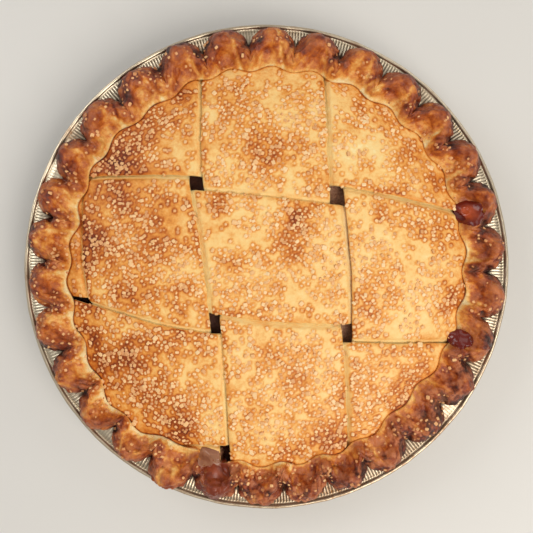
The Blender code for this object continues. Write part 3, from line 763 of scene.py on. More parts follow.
def rim_knots():
    draw = random.Random(RIM_SEED)
    tips = [TIP_RADIUS + draw.uniform(-1, 1) * TIP_SCATTER for _ in range(LOBES)]
    tips[LONG_LOBE] = LONG_LOBE_TIP
    crests = np.array([draw.uniform(-1, 1) * CREST_SCATTER for _ in range(LOBES)])
    reach = (1 - (NOTCH_SHARPNESS * np.abs(2 * ALONG - 1)) ** LOBE_FULLNESS) ** (1 / LOBE_FULLNESS)
    tip_r = NOTCH_RADIUS + (np.array(tips)[LOBE] - NOTCH_RADIUS) * reach
    tip_z = TIP_Z + TIP_WAVE * WAVE
    crest_r = tip_r - CREST_BACK + CREST_BACK_WAVE * WAVE
    crest_z = CREST_Z + CREST_WAVE * WAVE + crests[LOBE] * reach
    lip_z = dome_top(SEAM * np.cos(ANGLES), SEAM * np.sin(ANGLES)) + CLEARANCE
    shoulder_r = crest_r + (tip_r - crest_r) * SHOULDER
    shoulder_z = tip_z + (crest_z - tip_z) * (SHOULDER_RISE + SHOULDER_WAVE * WAVE)
    sole_r = np.maximum(SOLE_LEAST_RADIUS, tip_r - SOLE_IN)
    undercut_r = np.maximum(UNDERCUT_LEAST_RADIUS, tip_r - UNDERCUT_IN)
    knots = [
        (sole_r, np.full_like(tip_r, RIM_UNDER_Z)),
        (undercut_r, np.full_like(tip_r, RIM_UNDER_Z + UNDERCUT_RISE)),
        (tip_r, tip_z),
        (shoulder_r, shoulder_z),
        (crest_r, crest_z),
    ]
    for share in (2 / 3, 1 / 3):
        rise = share ** (LIP_SLOPE + LIP_SLOPE_WAVE * WAVE)
        knots.append((SEAM + (crest_r - SEAM) * share, lip_z + (crest_z - lip_z) * rise))
    knots.append((SEAM, lip_z))
    return np.array([np.stack(knot, axis=-1) for knot in knots])


section = smooth_through(rim_knots(), SECTION_ROWS)
section_r = section[..., 0]
section_z = section[..., 1]
from_seam = section_r - SEAM
print("rim from", section_r.min().round(4), "to", section_r.max().round(4))
print("rim", section_z.max().round(4), "high")

# %% Rim relief


def near_groove(radius, angles):
    """1 in the finger groove of a lobe, 0 away from it."""
    centre = (NOTCHES[LOBE] + NOTCHES[LOBE + 1]) / 2 + GROOVE_OFF
    lean = GROOVE_LEAN * (GROOVE_RADIUS - radius)
    return np.exp(-(((angles - centre - lean) * radius / GROOVE_WIDTH) ** 2))


def lobe_offsets(angles):
    """Angle of each point from the middles of the lobe before it, its own and the one after it."""
    middles = (NOTCHES[:-1] + NOTCHES[1:]) / 2
    middle = middles[LOBE]
    return [angles - (middle + shift * LOBE_PITCH) for shift in (-1, 0, 1)]


def swell(radius, kind, luck):
    """Rounded swell at the same place of every lobe, of uneven height."""
    off, centre, half_round, half_out, height = kind
    total = np.zeros(radius.shape)
    for shift, offset in zip((-1, 0, 1), lobe_offsets(ANGLES)):
        away = ((offset - off) * radius / half_round) ** 2 + ((radius - centre) / half_out) ** 2
        scale = height * luck[(LOBE + shift) % LOBES]
        total = np.maximum(total, scale * np.clip(1 - away, 0, 1) ** 0.65)
    return total


def crevice(radius):
    """1 in the crack that runs in from each notch, between a knuckle and the next lobe."""
    low, low_end, high, high_end = CREVICE_SPAN
    fade = ease(low, low_end, radius) * (1 - ease(high, high_end, radius))
    line = CREVICE_OFF - CREVICE_LEAN * (CREVICE_RADIUS - radius)
    total = np.zeros(radius.shape)
    for offset in lobe_offsets(ANGLES):
        total = np.maximum(total, np.exp(-(((offset - line) * radius / CREVICE_WIDTH) ** 2)))
    return total * fade


def rim_streaks(radius):
    """Streaks in the pulled dough, which run in across the rim and lean like the cracks."""
    turned = ANGLES + CREVICE_LEAN * (CREVICE_RADIUS - radius)
    x = STREAK_RADIUS * np.cos(turned)
    y = STREAK_RADIUS * np.sin(turned)
    return layered_noise(np.stack([x, y, STREAK_STRETCH * radius], axis=-1), STREAK_WIDTH, 69, 2)


def rim_points():
    place = np.linspace(0, 1, SECTION_ROWS)[:, None]
    roll = 1 - np.exp(-np.maximum(0, from_seam) / LIP_ROLL_REACH)
    z = section_z + LIP_ROLL * roll * ease(0.60, 0.80, place)
    points = np.stack([section_r * np.cos(ANGLES), section_r * np.sin(ANGLES), z], axis=-1)
    normal = band_normals(points)
    outward = np.sign((normal * points * (1, 1, 0)).sum(-1)[WALL_ROW].mean())
    normal = normal * outward
    free = ease(0.10, 0.24, place) * ease(0, 0.0016, from_seam)
    groove = near_groove(section_r, ANGLES) * ease(0.30, 0.5, place)
    crack = crevice(section_r)
    draw = np.random.default_rng(RIM_SEED)
    swells = swell(section_r, KNOB, draw.uniform(*LOBE_LUCK, LOBES))
    swells = np.maximum(swells, swell(section_r, KNUCKLE, draw.uniform(*LOBE_LUCK, LOBES)))
    relief = LUMPS * layered_noise(points, 0.0060, 51) + PORES * layered_noise(points, 0.0016, 55)
    relief = relief - CRINKLE * (1 - np.abs(noise(points, 0.0050, 58))) ** 6
    relief = relief - 0.5 * CRINKLE * (1 - np.abs(noise(points, 0.0026, 59))) ** 5
    relief = relief * (1 + bumps(ANGLES, ROUGH_SIDES))
    hollow = swell(section_r, HOLLOW, draw.uniform(*LOBE_LUCK, LOBES))
    streaks = rim_streaks(section_r)
    relief = relief - hollow - GROOVE_DEPTH * groove - CREVICE_DEPTH * crack + STREAK_DEPTH * streaks
    moved = points + normal * (relief * free)[..., None]
    moved = moved + normal * SWELL_WAY * (swells * free)[..., None]
    out = np.hypot(moved[..., 0], moved[..., 1])
    moved[..., :2] *= np.minimum(1, RIM_LIMIT / out)[..., None]
    return moved, groove, crack, swells, streaks, place


rim_grid, groove, crack, swells, streaks, place = rim_points()
print("rim swells by up to", swells.max().round(4))

# %% Rim browning and painted shade
# Along the section, from the foil to the lip: how brown a lobe is, and how brown a knuckle
SECTION_PLACES = (0, 0.2, 0.35, 0.5, 0.62, 0.78, 0.92, 0.975, 1)
LOBE_BAKE = (0.84, 0.79, 0.69, 0.60, 0.52, 0.44, 0.37, 0.27, 0.12)
KNUCKLE_BAKE = (0.86, 0.82, 0.72, 0.58, 0.49, 0.43, 0.38, 0.28, 0.12)
GROOVE_PALER = 0.20
# Painted shade in the crack beside each knuckle
CREVICE_SHADE = 0.18
SWELL_BAKE = 10
STREAK_PALER = 0.11
RIM_PALER = 0.04
RIM_RING_BAKE = 0.14
# Darker place beside each lobe: angle from the lobe's middle, radius, spread, how much darker
LOBE_DARK_SPOT = (math.radians(3.9), 0.1080, 0.0036, 0.22)
# Where the rim is browner, partly from baking and partly as painted shade on its near right side:
# angle, spread, how much more
BROWN_AND_SHADED_SIDES = sides((315, 48, 0.20), (120, 38, 0.10), (25, 30, 0.07))
# Where the lip stayed pale: angle, spread, how much
PALE_LIPS = sides((218, 35, 0.20), (352, 16, 0.2), (60, 14, 0.12))


def lobe_dark_spots(radius):
    """Darker places on the far inner side of each lobe, of uneven strength."""
    off, centre, spread, strength = LOBE_DARK_SPOT
    luck = np.random.default_rng(RIM_SEED + 3).uniform(0.2, 1.4, LOBES)
    total = np.zeros(radius.shape)
    for shift, offset in zip((-1, 0, 1), lobe_offsets(ANGLES)):
        away = (((offset - off) * radius) ** 2 + (radius - centre) ** 2) / spread ** 2
        total = total + strength * luck[(LOBE + shift) % LOBES] * np.exp(-away)
    return total


def rim_bake_and_shade():
    knuckle = (1 - WAVE) / 2
    on_lobe = np.interp(place, SECTION_PLACES, LOBE_BAKE)
    on_knuckle = np.interp(place, SECTION_PLACES, KNUCKLE_BAKE)
    bake_and_shade = on_lobe * (1 - knuckle) + on_knuckle * knuckle
    bake_and_shade = bake_and_shade + 0.15 * layered_noise(rim_grid, 0.009, 61) + 0.11 * layered_noise(rim_grid, 0.0030, 65)
    bake_and_shade = bake_and_shade + 0.18 * ease(0.05, 0.55, noise(rim_grid, 0.0048, 67)) * (1 - ease(0.75, 0.95, place))
    # The crack is darkened as painted shade
    bake_and_shade = bake_and_shade - GROOVE_PALER * groove + CREVICE_SHADE * crack + SWELL_BAKE * swells
    bake_and_shade = bake_and_shade + lobe_dark_spots(section_r) - STREAK_PALER * streaks
    bake_and_shade = bake_and_shade + bumps(ANGLES, BROWN_AND_SHADED_SIDES) - RIM_PALER
    bake_and_shade = bake_and_shade - bumps(ANGLES, PALE_LIPS) * ease(0.88, 0.97, place)
    return bake_and_shade + RIM_RING_BAKE * rings_at(rim_grid[..., 0], rim_grid[..., 1])


rim_brown_and_shade = rim_bake_and_shade()
print("rim browning from", rim_brown_and_shade.min().round(2), "to", rim_brown_and_shade.max().round(2))

# %% The whole shell
# Rings of the lining's outside, from the floor up: radius, height
LINING_RINGS = (
    (0.0852, 0.00075), (0.0886, 0.0019), (0.0920, 0.0040), (0.1082, 0.0265), (0.1091, 0.03055),
)
LEDGE_INNER = 0.0925
LEDGE_BELOW = 0.0032
LEDGE_FALL = 0.0030
LINING_BEND_Z = 0.0120
LINING_FLOOR = (0.0870, 0.00475)
OUTSIDE_BAKE = 0.6
INSIDE_BAKE = 1.0
# Where the rim turns a dull rosy tone, partly melted sugar and partly painted shade of its near side:
# angle, spread, how much
DULL_AND_SHADED_SIDES = sides((310, 50, 0.55), (250, 30, 0.25))


def ring(radius, height):
    radius = np.broadcast_to(radius, ANGLES.shape)
    height = np.broadcast_to(height, ANGLES.shape)
    return np.stack([radius * np.cos(ANGLES), radius * np.sin(ANGLES), height], axis=-1)


def build_crust():
    rebate = REBATE_RADIUS + REBATE_WANDER * np.maximum(0, bumps(ANGLES, SEAM_WANDERS))
    rebate_top = dome_top(rebate * np.cos(ANGLES), rebate * np.sin(ANGLES)) + 2 * CLEARANCE
    lattice_z = dome_top(LEDGE_INNER * np.cos(ANGLES), LEDGE_INNER * np.sin(ANGLES))
    ledge_z = lattice_z - 2 * SOLID_STRIP - LEDGE_BELOW
    outside = [ring(*spot) for spot in LINING_RINGS]
    inside = [
        ring(rebate, rebate_top),
        ring(rebate, ledge_z - LEDGE_FALL),
        ring(LEDGE_INNER, ledge_z),
        ring(LEDGE_INNER, LINING_BEND_Z),
        ring(*LINING_FLOOR),
    ]
    points = np.concatenate([np.stack(outside), rim_grid, np.stack(inside)])
    outside_brown = np.full((len(outside), len(ANGLES)), OUTSIDE_BAKE)
    inside_brown = np.full((len(inside), len(ANGLES)), INSIDE_BAKE)
    rows, columns = points.shape[:2]
    marks = {
        "bake_and_shade": np.concatenate([outside_brown, rim_brown_and_shade, inside_brown]),
        "glaze": glaze_at(points[..., 0], points[..., 1]),
        "dull_and_shaded": bumps(ANGLES, DULL_AND_SHADED_SIDES) * np.ones((rows, 1)),
    }
    return make_piece("fluted_crust", points, band_faces(rows, columns), marks)


crust_piece = build_crust()

# %% [markdown]
# ## The filling
# Through the small holes of the weave the dark, jammy top of the apples shows. Separate slices would
# be lost under the strips, so it is one round sheet of slices that slumped in the oven: a mesh of
# rings with overlapping swells, closed below like the solid.

# %% Filling
FILLING_RADIUS = 0.0915
FILLING_RINGS = 90
FILLING_SPOKES = 240
FILLING_BELOW = 0.0011
FILLING_SAG = 0.0026
SLICE_SUNK = 0.0016
SLICE_SWELL = 0.0013
PULP = 0.0003
# Rings of the filling's side, from the top down: radius, height
FILLING_SIDE = ((FILLING_RADIUS, 0.0120), (0.0864, 0.00505))


def build_filling():
    share = np.linspace(0.01, 1, FILLING_RINGS)[:, None]
    turn = np.arange(FILLING_SPOKES) * math.tau / FILLING_SPOKES
    x = FILLING_RADIUS * share * np.cos(turn)
    y = FILLING_RADIUS * share * np.sin(turn)
    spot = flat_points(x, y)
    sag = ease(0.45, 1, dome_share(x, y))
    limit = dome_top(x, y) - 2 * SOLID_STRIP - FILLING_BELOW - FILLING_SAG * sag
    slices = np.abs(noise(spot * (1, 1.8, 1), 0.016, 71))
    z = limit - SLICE_SUNK + SLICE_SWELL * slices + PULP * layered_noise(spot, 0.003, 72)
    top = np.stack([x, y, np.minimum(z, limit)], axis=-1)
    below = []
    for radius, height in FILLING_SIDE:
        level = np.full_like(turn, height)
        below.append(np.stack([radius * np.cos(turn), radius * np.sin(turn), level], axis=-1))
    points = np.concatenate([top, np.stack(below)])
    # The left half is painted darker: painted shade in the holes on the side away from the light
    left_shade = 0.85 * ease(0.012, -0.012, points[..., 0])
    return make_piece("apple_filling", points, band_faces(*points.shape[:2]), {"left_shade": left_shade})


filling_piece = build_filling()

# %% [markdown]
# ## The foil pan
# A pressed foil pan gets its stiffness from hundreds of small pleats in its wall and flange, and from
# a rolled bead. Bumps in the finish would be lighter, but pleats in the mesh also glint and catch
# shadows from the side. So the section of the solid is turned round, and each point is pushed in and
# out by a wave with one beat per pleat. Real pleats bunch a little, so a slow noise shifts and fades
# them.

# %% Pan
PLEATS = 500
PLEAT_STEPS = 4
WALL_PLEAT = 0.00045
FLANGE_PLEAT = 0.00024
FOLDS = 125
WALL_FOLD = 1.1
BEAD_CENTRE = (0.1208, 0.0302)
BEAD_RADIUS = 0.0010
BEAD_SPREAD = 0.0014
BEAD_WANDER = 0.00022
# The flange starts and its pleats end between these radii
FLANGE_START = (0.1085, 0.1105)
PLEATS_END = (0.1188, 0.1196)
# Radius of the circle along which the noises of the pan are read
NOISE_CIRCLE = 0.12
# Where the painted shade of the flange's pleat stripes is fainter: angle, spread, how much less
FAINT_STRIPE_SIDES = sides((190, 45, 0.5), (318, 30, 0.15))
# Where butter and juice baked on, and at the near right also painted shade that dims the foil: angle,
# spread, how much
SOILED_AND_SHADED_SIDES = sides((262, 24, 0.6), (318, 34, 0.75), (98, 16, 0.35))
# Rows of the underside's section: radius, height, pleat depth outward, pleat depth upward
BASE_ROWS = (
    (0.004, 0, 0, 0), (0.030, 0, 0, 0), (0.0315, 0.0003, 0, 0), (0.033, 0, 0, 0),
    (0.062, 0, 0, 0), (0.0635, 0.0003, 0, 0), (0.065, 0, 0, 0), (0.0855, 0, 0, 0),
    (0.0880, 0.0004, 0, 0), (0.0896, 0.0010, 0.00008, 0), (0.0909, 0.0020, 0.00018, 0),
)
WALL_FOOT = (0.0920, 0.0030)
WALL_TOP = (0.1104, 0.0284)


def pan_section():
    """Rows along the underside, up the wall, round the bead and back along the upper side."""
    rows = list(BASE_ROWS)
    for share in np.linspace(0, 1, 5):
        r = WALL_FOOT[0] + (WALL_TOP[0] - WALL_FOOT[0]) * share
        z = WALL_FOOT[1] + (WALL_TOP[1] - WALL_FOOT[1]) * share
        rows.append((r, z, WALL_PLEAT, 0))
    rows.append((0.1110, 0.0293, WALL_PLEAT * 0.6, FLANGE_PLEAT * 0.5))
    for r in np.linspace(0.1118, 0.1184, 4):
        rows.append((r, FLANGE_Z, 0, FLANGE_PLEAT))
    rows.append((0.1192, FLANGE_Z - 0.0006, 0, 0))
    for turn in np.linspace(math.radians(200), math.radians(520), 9):
        r = BEAD_CENTRE[0] + BEAD_RADIUS * math.cos(turn)
        z = BEAD_CENTRE[1] + BEAD_RADIUS * math.sin(turn)
        rows.append((r, z, 0, 0))
    rows.append((0.1194, FLANGE_Z - 0.0003, 0, 0))
    for r in np.linspace(0.1187, 0.1118, 4):
        rows.append((r, FLANGE_Z + 0.0003, 0, FLANGE_PLEAT))
    rows += [(0.1104, 0.0290, WALL_PLEAT * 0.6, 0), (0.1098, 0.0280, WALL_PLEAT, 0)]
    rows += [(0.0916, 0.0034, WALL_PLEAT, 0), (0.0860, 0.0004, 0, 0), (0.004, 0.0004, 0, 0)]
    return np.array(rows)


def build_pan():
    radius, height, outward, upward = (column[:, None] for column in pan_section().T)
    count = PLEATS * PLEAT_STEPS
    turn = np.arange(count) * math.tau / count
    round_trip = np.stack([np.cos(turn), np.sin(turn), np.zeros(count)], axis=-1) * NOISE_CIRCLE
    shift = 1.2 * noise(round_trip, 0.020, 81) + 0.5 * noise(round_trip, 0.006, 82)
    fade = 0.72 + 0.45 * noise(round_trip, 0.012, 83) + 0.25 * noise(round_trip, 0.003, 84)
    beat = np.cos(PLEATS * turn + shift) * fade
    fold = np.cos(FOLDS * turn + 0.6 * shift) * (0.8 + 0.4 * noise(round_trip, 0.025, 86))
    bead_part = np.exp(-(((radius - BEAD_CENTRE[0]) / BEAD_SPREAD) ** 2))
    wander = BEAD_WANDER * layered_noise(round_trip, 0.010, 85) * bead_part
    r = radius + outward * (beat + WALL_FOLD * fold) + wander
    z = height + upward * beat + 0.6 * np.abs(wander)
    points = np.stack([r * np.cos(turn), r * np.sin(turn), np.broadcast_to(z, r.shape)], axis=-1)
    flange = np.broadcast_to(ease(*FLANGE_START, radius), r.shape)
    pleated = flange * (1 - ease(*PLEATS_END, radius))
    # Every other half pleat is painted dark: painted shade and reflection of the pleats
    painted_pleat_shade = (0.5 + 0.5 * beat) * pleated * (1 - bumps(turn, FAINT_STRIPE_SIDES))
    soil_and_shade = bumps(turn, SOILED_AND_SHADED_SIDES) * (0.7 + 0.5 * noise(round_trip, 0.006, 87))
    marks = {"flange": flange, "pleat": painted_pleat_shade, "soil_and_shade": soil_and_shade * np.ones_like(radius)}
    return make_piece("pleated_foil_pan", points, band_faces(len(radius), count), marks)


pan_piece = build_pan()

# %% [markdown]
# ## Sugar crystals
# A crystal of coarse sugar is a small block with its edges knocked off. Particles would scatter them
# too, but here each spot is known beforehand, so that the dough could get its melted ring. One block
# with cut corners is turned, stretched and sunk into the crust at every spot, and all of them are one
# mesh. A ray from above finds the crust under a spot and the way it faces.

# %% Rays from above


def surface_tree(piece):
    mesh = piece.data
    points = np.zeros(len(mesh.vertices) * 3)
    mesh.vertices.foreach_get("co", points)
    faces = [list(face.vertices) for face in mesh.polygons]
    return BVHTree.FromPolygons(points.reshape(-1, 3).tolist(), faces)


SOLID_TREES = [surface_tree(piece) for piece in (*strip_pieces.values(), crust_piece, pan_piece)]


def surface_below(x, y):
    """Highest point of the dough or pan under a place, and the way it faces."""
    best = None
    for tree in SOLID_TREES:
        spot, normal, _, _ = tree.ray_cast(Vector((x, y, 0.1)), Vector((0, 0, -1)))
        if spot is not None and (best is None or spot.z > best[0]):
            best = (spot.z, normal if normal.z > 0 else -normal)
    return best


print("surface at the middle:", round(surface_below(0.0, 0.0)[0], 4))

# %% Crystals
CRYSTAL_SIZES = (0.00095, 0.00200)
CRYSTAL_CUT = 0.66
CRYSTAL_SINK = (-0.20, 0.06)
CRYSTAL_STRETCH = 0.30
CRYSTAL_FLAT = 0.62
CRYSTAL_TILT = 0.35
RIM_TOAST = 0.42
RIM_SIZE = 0.85
PATCH_TOAST = 1.1
TOAST_FROM = 0.30
DARKEST_SUGAR = 0.35
# How much darker a crystal's foot is: partly melted sugar, partly painted shade
MELTED_AND_SHADED_FOOT = 0.62
HIGHEST_SUGAR = 0.04745
LOWEST_SUGAR = 0.0320
# Least upward share of a surface's normal on which a crystal stays
LEAST_UPWARD = 0.45


def cut_block():
    """Corners and faces of a block with all its edges and corners cut off."""
    corners = []
    for axis in range(3):
        for side in (-1, 1):
            for a in (-1, 1):
                for b in (-1, 1):
                    corner = [a * CRYSTAL_CUT, b * CRYSTAL_CUT]
                    corner.insert(axis, side)
                    corners.append(corner)
    builder = bmesh.new()
    for corner in corners:
        builder.verts.new([value / 2 for value in corner])
    bmesh.ops.convex_hull(builder, input=builder.verts)
    builder.verts.index_update()
    points = np.array([vert.co[:] for vert in builder.verts])
    faces = [[vert.index for vert in face.verts] for face in builder.faces]
    builder.free()
    return points, np.array(faces)


def build_sugar(spots):
    block, block_faces = cut_block()
    draw = random.Random(SUGAR_SEED + 5)
    points = []
    faces = []
    shades = []
    for x, y in spots:
        found = surface_below(float(x), float(y))
        if found is None or found[1].z < LEAST_UPWARD or found[0] < LOWEST_SUGAR:
            continue
        on_rim = math.hypot(x, y) > seam_at(math.atan2(y, x))
        size = draw.uniform(*CRYSTAL_SIZES) * (RIM_SIZE if on_rim else 1)
        sink = draw.uniform(*CRYSTAL_SINK)
        stretch = [size * draw.uniform(1 - CRYSTAL_STRETCH, 1 + CRYSTAL_STRETCH) for _ in range(3)]
        stretch[2] *= CRYSTAL_FLAT
        spin = Matrix.Rotation(draw.uniform(0, math.tau), 3, "Z")
        lean = Matrix.Rotation(draw.gauss(0, CRYSTAL_TILT), 3, "X")
        stand = found[1].to_track_quat("Z", "Y").to_matrix()
        turn = np.array(stand @ spin @ lean)
        placed = (block * stretch) @ turn.T + (x, y, found[0] + size * sink)
        over = placed[:, 2].max() - HIGHEST_SUGAR
        placed[:, 2] -= max(0, over)
        faces.append(block_faces + len(points) * len(block))
        points.append(placed)
        brown = max(0, float(lattice_bake_and_shade(x, y)) - TOAST_FROM)
        toast = RIM_TOAST if on_rim else PATCH_TOAST * brown
        # Each crystal darkens towards its foot: partly melted sugar, partly painted shade on its lower
        # sides
        foot = MELTED_AND_SHADED_FOOT * ease(0.30, -0.20, block[:, 2])
        shades.append(DARKEST_SUGAR + (1 - DARKEST_SUGAR) * draw.random() - toast - foot)
    faces = np.concatenate(faces).tolist()
    marks = {"shade": np.concatenate(shades)}
    return make_piece("sugar_crystals", np.concatenate(points), faces, marks, smooth=False)


sugar_piece = build_sugar(np.concatenate([lattice_sugar, rim_sugar]))

# %% [markdown]
# ## Syrup
# Juice boiled out under the rim at three places and set there. A flattened ball would float over the
# uneven crust, so a pool is a round of rings that lies on whatever is below it, thick in the middle
# and thin at its edge, with its underside just inside the crust. The biggest one kept the ring of a
# burst bubble. The thin film beside the bottom one is made the same way with less depth.

# %% Pools
POOL_RINGS = 26
POOL_SPOKES = 72
POOL_SUNK = 0.0006
SMOOTH_REACH = 0.0020
POOL_SETTLE = 40
POOL_RAGGED = 0.10
POOL_SKIN = 0.00010
POOL_LIFT = 0.00012
POOL_EDGE_DIP = 0.00005
BUBBLE_RADIUS = 0.0019
BUBBLE_WIDTH = 0.0004
BUBBLE_RISE = 0.00030
BUBBLE_DENT = 0.00050
BUBBLE_DENT_RADIUS = 0.0014


def smooth_surface(x, y, reach):
    heights = []
    for dx, dy in ((0, 0), (reach, 0), (-reach, 0), (0, reach), (0, -reach)):
        found = surface_below(x + dx, y + dy)
        if found is not None:
            heights.append(found[0])
    return sum(heights) / len(heights), heights[0]


def settled(height, under, rounds):
    """A pool's heights after it found its level, never below the crust under it."""
    for _ in range(rounds):
        mean = (np.roll(height, 1, axis=1) + np.roll(height, -1, axis=1) + height) / 3
        mean[1:-2] = (height[:-3] + height[2:-1] + mean[1:-2]) / 3
        height = np.concatenate([mean[:-2], height[-2:]])
        height = np.maximum(height, under + POOL_SKIN)
    return height


def build_pool(
    name, turn, distance, half_out, half_round, crown, follow,
    bubble=None, seed=0, lean=0.0, square=2.0, settle=POOL_SETTLE, clear=1.0,
):
    """A pool at an angle and distance from the centre; follow is 1 where it clings like a film."""
    out = (math.cos(turn), math.sin(turn))
    side = (-out[1], out[0])
    rho = np.linspace(0.03, 1, POOL_RINGS)
    spin = np.arange(POOL_SPOKES) * math.tau / POOL_SPOKES
    edge = np.stack([np.cos(spin), np.sin(spin), np.full(POOL_SPOKES, seed * 1.7)], axis=-1)
    ragged = 1 + POOL_RAGGED * layered_noise(edge, 0.8, 91 + seed)
    corners = np.abs(np.cos(spin)) ** square + np.abs(np.sin(spin)) ** square
    ragged = ragged * corners ** (-1 / square)
    points = np.zeros((POOL_RINGS + 1, POOL_SPOKES, 3))
    under = np.zeros((POOL_RINGS + 1, POOL_SPOKES))
    for i, share in enumerate(rho):
        for j, a in enumerate(spin):
            along = distance + half_out * share * math.cos(a) * ragged[j]
            across = (half_round * math.sin(a) + lean * half_out * math.cos(a)) * share * ragged[j]
            x = out[0] * along + side[0] * across
            y = out[1] * along + side[1] * across
            soft, hard = smooth_surface(x, y, SMOOTH_REACH * (1 - share))
            depth = crown * (1 - share ** 2) ** 0.55
            base = hard * follow + soft * (1 - follow)
            points[i, j] = (x, y, max(base, hard) + depth + POOL_LIFT * (1 - share))
            under[i, j] = hard
    points[..., 2] = settled(points[..., 2], under, settle)
    if bubble is not None:
        away = np.hypot(points[..., 0] - bubble[0], points[..., 1] - bubble[1])
        points[..., 2] += BUBBLE_RISE * np.exp(-(((away - BUBBLE_RADIUS) / BUBBLE_WIDTH) ** 2))
        points[..., 2] -= BUBBLE_DENT * np.exp(-((away / BUBBLE_DENT_RADIUS) ** 2))
    points[-1] = points[-2]
    points[-1, :, 2] -= POOL_SUNK
    points[-2, :, 2] -= POOL_EDGE_DIP
    core = clear * np.append(1 - rho, 0)[:, None] * np.ones(POOL_SPOKES)
    return make_piece(name, points, band_faces(POOL_RINGS + 1, POOL_SPOKES), {"core": core})


def polar(x, y):
    return math.atan2(y, x), math.hypot(x, y)


juice_pieces = {
    "juice_right": build_pool(
        "syrup_right", math.radians(14.9), 0.1031, half_out=0.0066, half_round=0.0067,
        crown=0.0026, follow=0.15, bubble=(0.0980, 0.0276),
    ),
    "juice_lower_right": build_pool(
        "syrup_lower_right", math.radians(339.4), 0.1022, half_out=0.0060, half_round=0.0046,
        crown=0.0018, follow=0.6, seed=1, settle=16, clear=0.2,
    ),
    "juice_bottom": build_pool(
        "syrup_bottom", math.radians(257.0), 0.1076, half_out=0.0098, half_round=0.0062,
        crown=0.0001, follow=1.0, seed=2, lean=0.10, square=2.6, settle=3,
    ),
}
film_piece = build_pool(
    "syrup_film", *polar(-0.0274, -0.0944), half_out=0.0040, half_round=0.0060,
    crown=0.00005, follow=1.0, seed=3, lean=0.1, square=5.0,
)

# %% [markdown]
# ## Finishes
# A finish here is a small sum of maps: how brown the dough is, plus a fine mottle, looked up in a row
# of colours from raw to burnt. To write such sums as sums, one small class wraps a socket of a node
# and turns Python's own signs into Math nodes. Every other node comes from its one method.

# %% Sums on sockets


class Wire:
    """A socket that Python's signs work on; each sum adds its Math node."""

    def __init__(self, tree, socket=None):
        self.tree = tree
        self.socket = socket

    def node(self, kind, settings=None, sockets=None, output=0):
        """Any node: its type, its settings, and then the values or links of its sockets."""
        made = self.tree.nodes.new("ShaderNode" + kind)
        for key, value in (settings or {}).items():
            if key == "stops":
                set_stops(made.color_ramp, value)
            else:
                setattr(made, key, value)
        for key, value in (sockets or {}).items():
            if isinstance(value, Wire):
                self.tree.links.new(value.socket, made.inputs[key])
            else:
                made.inputs[key].default_value = value
        return Wire(self.tree, made.outputs[output])

    def sum(self, operation, *terms):
        return self.node("Math", {"operation": operation}, dict(enumerate(terms)))

    def __add__(self, other):
        return self.sum("ADD", self, other)

    def __radd__(self, other):
        return self.sum("ADD", other, self)

    def __sub__(self, other):
        return self.sum("SUBTRACT", self, other)

    def __rsub__(self, other):
        return self.sum("SUBTRACT", other, self)

    def __mul__(self, other):
        return self.sum("MULTIPLY", self, other)

    def __rmul__(self, other):
        return self.sum("MULTIPLY", other, self)

    def eased(self, low, high):
        """0 below low, 1 above high, smooth between."""
        limits = {"Value": self, "From Min": low, "From Max": high}
        return self.node("MapRange", {"interpolation_type": "SMOOTHSTEP"}, limits)

    def noise(self, size, detail=3.0, rough=0.5, shift=0.0):
        """Noise with bumps of this size in metres, around 0."""
        place = self.node("TexCoord", output=3)
        moved = self.node("VectorMath", {"operation": "ADD"}, {0: place, 1: (shift, shift, shift)})
        sockets = {"Vector": moved, "Scale": 1 / size, "Detail": detail, "Roughness": rough}
        return self.node("TexNoise", None, sockets) - 0.5

    def mark(self, name):
        return self.node("Attribute", {"attribute_name": name}, output=2)

    def ramp(self, stops):
        return self.node("ValToRGB", {"stops": stops}, {0: self})

    def mix(self, first, second):
        """Colour between two colours, by this value."""
        return self.node("Mix", {"data_type": "RGBA"}, {0: self, 6: first, 7: second}, output=2)

    def bump(self, strength, depth):
        return self.node("Bump", None, {"Strength": strength, "Distance": depth, "Height": self})


def srgb(red, green, blue):
    """Linear colour from the 0 to 255 values seen on a screen."""
    channels = [value / 255 for value in (red, green, blue)]
    return (*(c / 12.92 if c <= 0.04045 else ((c + 0.055) / 1.055) ** 2.4 for c in channels), 1.0)


def set_stops(ramp, stops):
    while len(ramp.elements) > 1:
        ramp.elements.remove(ramp.elements[-1])
    for index, (position, colour) in enumerate(stops):
        stop = ramp.elements[0] if index == 0 else ramp.elements.new(position)
        stop.position = position
        stop.color = colour


def new_finish(name, settings, sockets):
    """A finish with fixed values on its shader's own sockets; sockets is a function of a wire."""
    made = bpy.data.materials.new(name)
    made.use_nodes = True
    shader = made.node_tree.nodes["Principled BSDF"]
    for key, value in settings.items():
        shader.inputs[key].default_value = value
    for key, value in sockets(Wire(made.node_tree)).items():
        made.node_tree.links.new(value.socket, shader.inputs[key])
    return made


def dress(piece, finish):
    piece.data.materials.clear()
    piece.data.materials.append(finish)


print("middle grey of a screen is", round(srgb(128, 128, 128)[0], 3), "in light")

# %% [markdown]
# ## Dough from cream to nearly black
# Baked dough goes from cream through gold and orange-brown to a dark red-brown. A painted picture
# could give that too, but marks and noises stay sharp at any size. Lattice and rim have a row of
# colours each, because the rim baked darker and redder, and melted sugar left a rosy tone on it,
# which on the rim's near side also stands in as painted shade. The crumb of the crust shows as fine
# pits, which are bumps that only the finish has.

